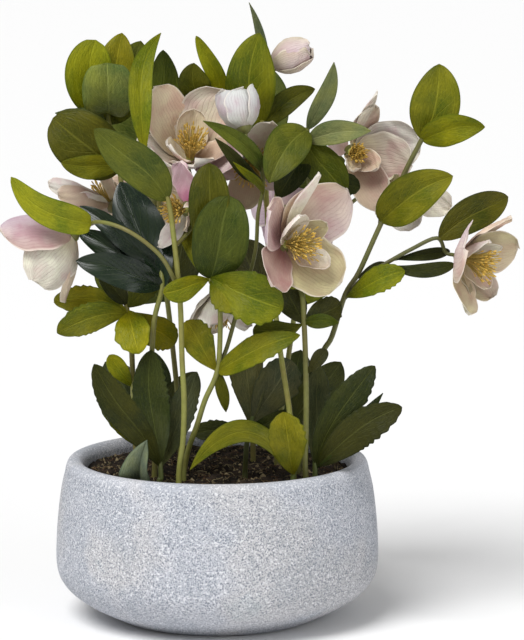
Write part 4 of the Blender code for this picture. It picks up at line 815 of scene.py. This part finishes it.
class Graph:
    """Short ways to add and join the nodes of one material."""

    def __init__(self, name):
        self.material = bpy.data.materials.new(name)
        self.material.use_nodes = True
        self.tree = self.material.node_tree
        self.surface = self.tree.nodes["Principled BSDF"]

    def put(self, target, value):
        if isinstance(value, bpy.types.NodeSocket):
            self.tree.links.new(value, target)
        else:
            target.default_value = (*value, 1) if isinstance(value, tuple) else value

    def add(self, kind, inputs=(), output=0, **settings):
        made = self.tree.nodes.new(f"ShaderNode{kind}")
        for key, value in settings.items():
            setattr(made, key, value)
        for key, value in dict(inputs).items():
            self.put(made.inputs[key], value)
        return made.outputs[output]

    def math(self, operation, first, second=0.0):
        return self.add("Math", {0: first, 1: second}, operation=operation)

    def times(self, first, second):
        return self.math("MULTIPLY", first, second)

    def plus(self, first, second):
        return self.math("ADD", first, second)

    def minus(self, first, second):
        return self.math("SUBTRACT", first, second)

    def apart(self, first, second):
        return self.math("ABSOLUTE", self.minus(first, second))

    def spread(self, value, low, high, start=0.0, end=1.0):
        """The value's way from low to high, eased, as a number from start to end."""
        return self.add("MapRange", {0: value, 1: low, 2: high, 3: start, 4: end}, interpolation_type="SMOOTHSTEP")

    def mix(self, share, first, second, blend="MIX"):
        return self.add("Mix", {0: share, 6: first, 7: second}, 2, data_type="RGBA", blend_type=blend)

    def dyed(self, colour, factors):
        return self.mix(1.0, colour, factors, "MULTIPLY")

    def layer(self, colour, other, value, low, high, most=1.0):
        """The colour, more and more of the other as the value goes from low to high."""
        return self.mix(self.spread(value, low, high, 0.0, most), colour, other)

    def place(self):
        return self.add("TexCoord", output="Object")

    def noise(self, scale, detail=3.0, roughness=0.5, place=None):
        inputs = {"Vector": place or self.place(), "Scale": scale, "Detail": detail, "Roughness": roughness}
        return self.add("TexNoise", inputs)

    def tint(self):
        return self.add("Attribute", output="Color", attribute_name="tint")

    def blade(self):
        """How far across a blade, from its midrib to its edge, and along it."""
        spots = self.add("UVMap", uv_map="blade")
        across, along = (self.add("SeparateXYZ", {0: spots}, output) for output in (0, 1))
        return across, self.apart(self.times(across, 2.0), 1.0), along

    def bump(self, height, distance, strength):
        bumped = self.add("Bump", {"Strength": strength, "Distance": distance, "Height": height})
        self.put(self.surface.inputs["Normal"], bumped)

    def finish(self, colour, roughness, **settings):
        self.put(self.surface.inputs["Base Color"], colour)
        self.put(self.surface.inputs["Roughness"], roughness)
        for key, value in settings.items():
            self.surface.inputs[key.replace("_", " ")].default_value = value
        return self.material


def leaf_material(name, low, high, pale, shine, relief):
    """Pale midrib, side veins that run out and forward, streaks, mottled green and a darker edge."""
    g = Graph(name)
    across, side, along = g.blade()
    broad = g.noise(42)
    fine = g.noise(620, 2)
    lines = g.add("CombineXYZ", {0: g.times(across, 34), 1: g.times(along, 4), 2: g.times(broad, 14)})
    streak = g.noise(1, 2, place=lines)
    midrib = g.spread(side, 0.012, 0.06, 1, 0)
    phase = g.plus(g.minus(g.times(along, 7), g.times(side, 3.4)), g.times(broad, 1.6))
    vein = g.spread(g.apart(g.math("FRACT", phase), 0.5), 0, 0.09, 1, 0)
    vein = g.times(vein, g.spread(side, 0.95, 0.35, 0, 1))
    net = g.add("TexVoronoi", {"Vector": g.place(), "Scale": 420}, feature="DISTANCE_TO_EDGE")
    net = g.spread(net, 0, 0.12, 1, 0)
    tint = g.tint()
    light = g.mix(1, g.dyed(tint, (1.6, 1.5, 1.8)), (0.03, 0.034, 0.01), "ADD")
    colour = g.layer(tint, g.dyed(tint, (1.34, 1.24, 0.95)), broad, 0.46, 0.66)
    colour = g.layer(colour, g.dyed(tint, (0.62, 0.76, 0.78)), broad, 0.5, 0.32)
    colour = g.layer(colour, g.dyed(colour, (0.66, 0.72, 0.66)), fine, 0.35, 0.7, 0.3)
    colour = g.layer(colour, g.dyed(colour, (0.64, 0.7, 0.72)), streak, 0.45, 0.66, 0.5)
    colour = g.layer(colour, light, streak, 0.44, 0.28, 0.35)
    for line, strength in ((net, 0.16), (vein, 0.42), (midrib, pale)):
        colour = g.mix(g.times(line, strength), colour, light)
    colour = g.layer(colour, g.dyed(tint, (0.45, 0.6, 0.6)), side, 0.9, 0.98, 0.6)
    height = g.plus(g.times(g.plus(midrib, vein), -0.5), g.times(fine, 0.2 * relief))
    g.bump(g.plus(height, g.times(streak, relief)), 0.0006, 0.8)
    return g.finish(colour, g.spread(broad, 0.3, 0.7, low, high), Specular_IOR_Level=shine)


def stem_material():
    g = Graph("stem")
    fine = g.noise(300)
    broad = g.noise(30)
    tint = g.tint()
    colour = g.layer(tint, g.dyed(tint, (0.85, 0.7, 0.75)), broad, 0.4, 0.65)
    colour = g.layer(colour, g.dyed(tint, (0.62, 0.66, 0.55)), fine, 0.3, 0.7, 0.4)
    g.bump(fine, 0.0003, 0.5)
    return g.finish(colour, g.spread(fine, 0.3, 0.7, 0.45, 0.62))


def petal_material():
    """Soft petals with fine veins that run from foot to edge, blotches and a thin cream rim, partly a pale edge and
    partly a painted highlight.
    """
    g = Graph("petal")
    across, side, along = g.blade()
    broad = g.noise(60)
    fine = g.noise(900, 2)
    fan = g.plus(g.times(across, 17), g.times(broad, 2.6))
    vein = g.spread(g.apart(g.math("FRACT", fan), 0.5), 0, 0.16, 1, 0)
    tint = g.tint()
    deep = g.dyed(tint, (0.82, 0.6, 0.68))
    colour = g.layer(tint, deep, broad, 0.46, 0.7, 0.7)
    colour = g.layer(colour, g.dyed(tint, (1.18, 1.24, 1.18)), broad, 0.48, 0.3, 0.9)
    colour = g.mix(g.times(vein, 0.22), colour, g.dyed(tint, (0.76, 0.56, 0.6)))
    colour = g.layer(colour, deep, fine, 0.45, 0.75, 0.2)
    # Cream along the edges: the petal's pale rim together with a painted highlight
    rim = g.math("MAXIMUM", g.spread(side, 0.9, 0.98), g.spread(along, 0.95, 0.985))
    rim = g.times(rim, g.spread(along, 0.15, 0.45, 0, 0.85))
    colour = g.mix(rim, colour, g.mix(0.35, (0.82, 0.74, 0.64), tint))
    g.bump(g.plus(g.times(vein, -0.6), g.times(fine, 0.3)), 0.0005, 0.7)
    return g.finish(colour, g.spread(broad, 0.3, 0.7, 0.5, 0.66), Sheen_Weight=0.08, Specular_IOR_Level=0.25)


def stamen_material():
    g = Graph("stamen")
    fine = g.noise(1500, 2)
    tint = g.tint()
    colour = g.layer(tint, g.dyed(tint, (0.7, 0.55, 0.4)), fine, 0.35, 0.65, 0.5)
    g.bump(fine, 0.0002, 0.5)
    return g.finish(colour, g.spread(fine, 0.3, 0.7, 0.55, 0.8))


def cement_material():
    """Pale cement, cooler and warmer in patches, with a close dark and light speckle and a stippled surface."""
    g = Graph("cement")
    height = g.add("SeparateXYZ", {0: g.place()}, 2)
    grain = g.noise(1000, 3, 0.75)
    coarse = g.noise(700, 3, 0.6)
    cloud = g.noise(26, 4, 0.55)
    patch = g.noise(13)
    colour = g.layer((0.47, 0.49, 0.54), (0.58, 0.59, 0.64), cloud, 0.38, 0.64)
    colour = g.layer(colour, g.dyed(colour, (0.98, 0.93, 0.84)), patch, 0.46, 0.6, 0.6)
    colour = g.layer(colour, (0.44, 0.54, 0.58), cloud, 0.6, 0.72, 0.3)
    dark = g.times(g.spread(grain, 0.48, 0.58, 0, 0.85), g.spread(g.spread(height, 0.104, 0.112), 0, 1, 1, 0.5))
    colour = g.mix(dark, colour, (0.14, 0.16, 0.2))
    colour = g.layer(colour, (0.82, 0.82, 0.84), coarse, 0.52, 0.64, 0.7)
    g.bump(g.plus(g.times(grain, -0.7), g.times(coarse, 0.6)), 0.0009, 0.9)
    return g.finish(colour, g.spread(grain, 0.3, 0.7, 0.78, 0.95), Specular_IOR_Level=0.2)


def earth_material(name, tinted):
    g = Graph(name)
    grain = g.noise(700, 4, 0.7)
    clod = g.noise(180, 3, 0.6)
    tint = g.tint() if tinted else g.layer((0.01, 0.007, 0.005), (0.042, 0.027, 0.017), clod, 0.35, 0.65)
    colour = g.layer(tint, g.dyed(tint, (0.4, 0.4, 0.4)), grain, 0.35, 0.7, 0.7)
    g.bump(g.plus(grain, clod), 0.0012, 0.9)
    return g.finish(colour, g.spread(grain, 0.3, 0.7, 0.85, 1), Specular_IOR_Level=0.2)


def stand(name, data, place, forward, upward=(0, 0, 1)):
    """Put a light or camera at a place, looking forward."""
    right = unit(np.cross(forward, upward))
    turn = np.stack([right, np.cross(right, forward), -forward, place], axis=1)
    made = linked(name, data)
    made.matrix_world = Matrix([*turn, (0, 0, 0, 1)])
    return made


def lamp(name, kind, place, forward, **settings):
    data = bpy.data.lights.new(name, kind)
    for key, value in settings.items():
        setattr(data, key, value)
    stand(name, data, place, unit(forward))


def studio():
    world = bpy.data.worlds.new("studio")
    world.use_nodes = True
    background = world.node_tree.nodes["Background"]
    background.inputs[0].default_value = (1.0, 1.0, 1.0, 1)
    background.inputs[1].default_value = SKY_STRENGTH
    bpy.context.scene.world = world
    floor_mesh = bpy.data.meshes.new("floor")
    corners = [(x * FLOOR_REACH, y * FLOOR_REACH, 0) for x, y in ((-1, -1), (1, -1), (1, 1), (-1, 1))]
    floor_mesh.from_pydata(corners, [], [(0, 1, 2, 3)])
    floor_mesh.materials.append(Graph("floor").finish(FLOOR_COLOUR, 0.8, Specular_IOR_Level=0.1))
    floor = linked("floor", floor_mesh)
    lamp("sun", "SUN", (0, 0, 0), SUN_WAY, energy=SUN_STRENGTH, angle=SUN_SPREAD)
    way = FILL_TARGET - FILL_PLACE
    lamp("fill", "AREA", FILL_PLACE, way, shape="DISK", size=1.4, energy=10, color=(0.97, 0.985, 1.0))


def camera():
    data = bpy.data.cameras.new("camera")
    data.sensor_width = SENSOR
    data.lens = SENSOR * (SIGHT_LENGTH / STEP) / IMAGE_HEIGHT
    data.clip_end = 20
    bpy.context.scene.camera = stand("camera", data, EYE, FORWARD, UPWARD)


LEAF = leaf_material("leaf", 0.40, 0.54, pale=0.65, shine=0.14, relief=1.2)
GLOSS = leaf_material("leaf_gloss", 0.24, 0.32, pale=0.3, shine=0.34, relief=0.08)
STEM = stem_material()
PETAL = petal_material()
STAMEN = stamen_material()
CEMENT = cement_material()
EARTH = earth_material("earth", False)
EARTH_TINTED = earth_material("earth_tinted", True)

bowl()
soil()
crumbs()
fibres()
for stem_name, stem_spec in STEMS.items():
    leafy_stem(stem_name, stem_spec, "stem_green", STEM_TINT)
for leaf_name, leaf_parts in BASAL_LEAVES.items():
    leafy_stem(leaf_name, leaf_parts, "basal_green", BASAL_TINT)
for bloom_name, bloom_spec in BLOOMS.items():
    sepals(bloom_name, bloom_spec)
    if not bloom_spec["bud"]:
        stamens(bloom_name, bloom_spec)
studio()
camera()
bpy.context.scene.view_settings.view_transform = "Standard"
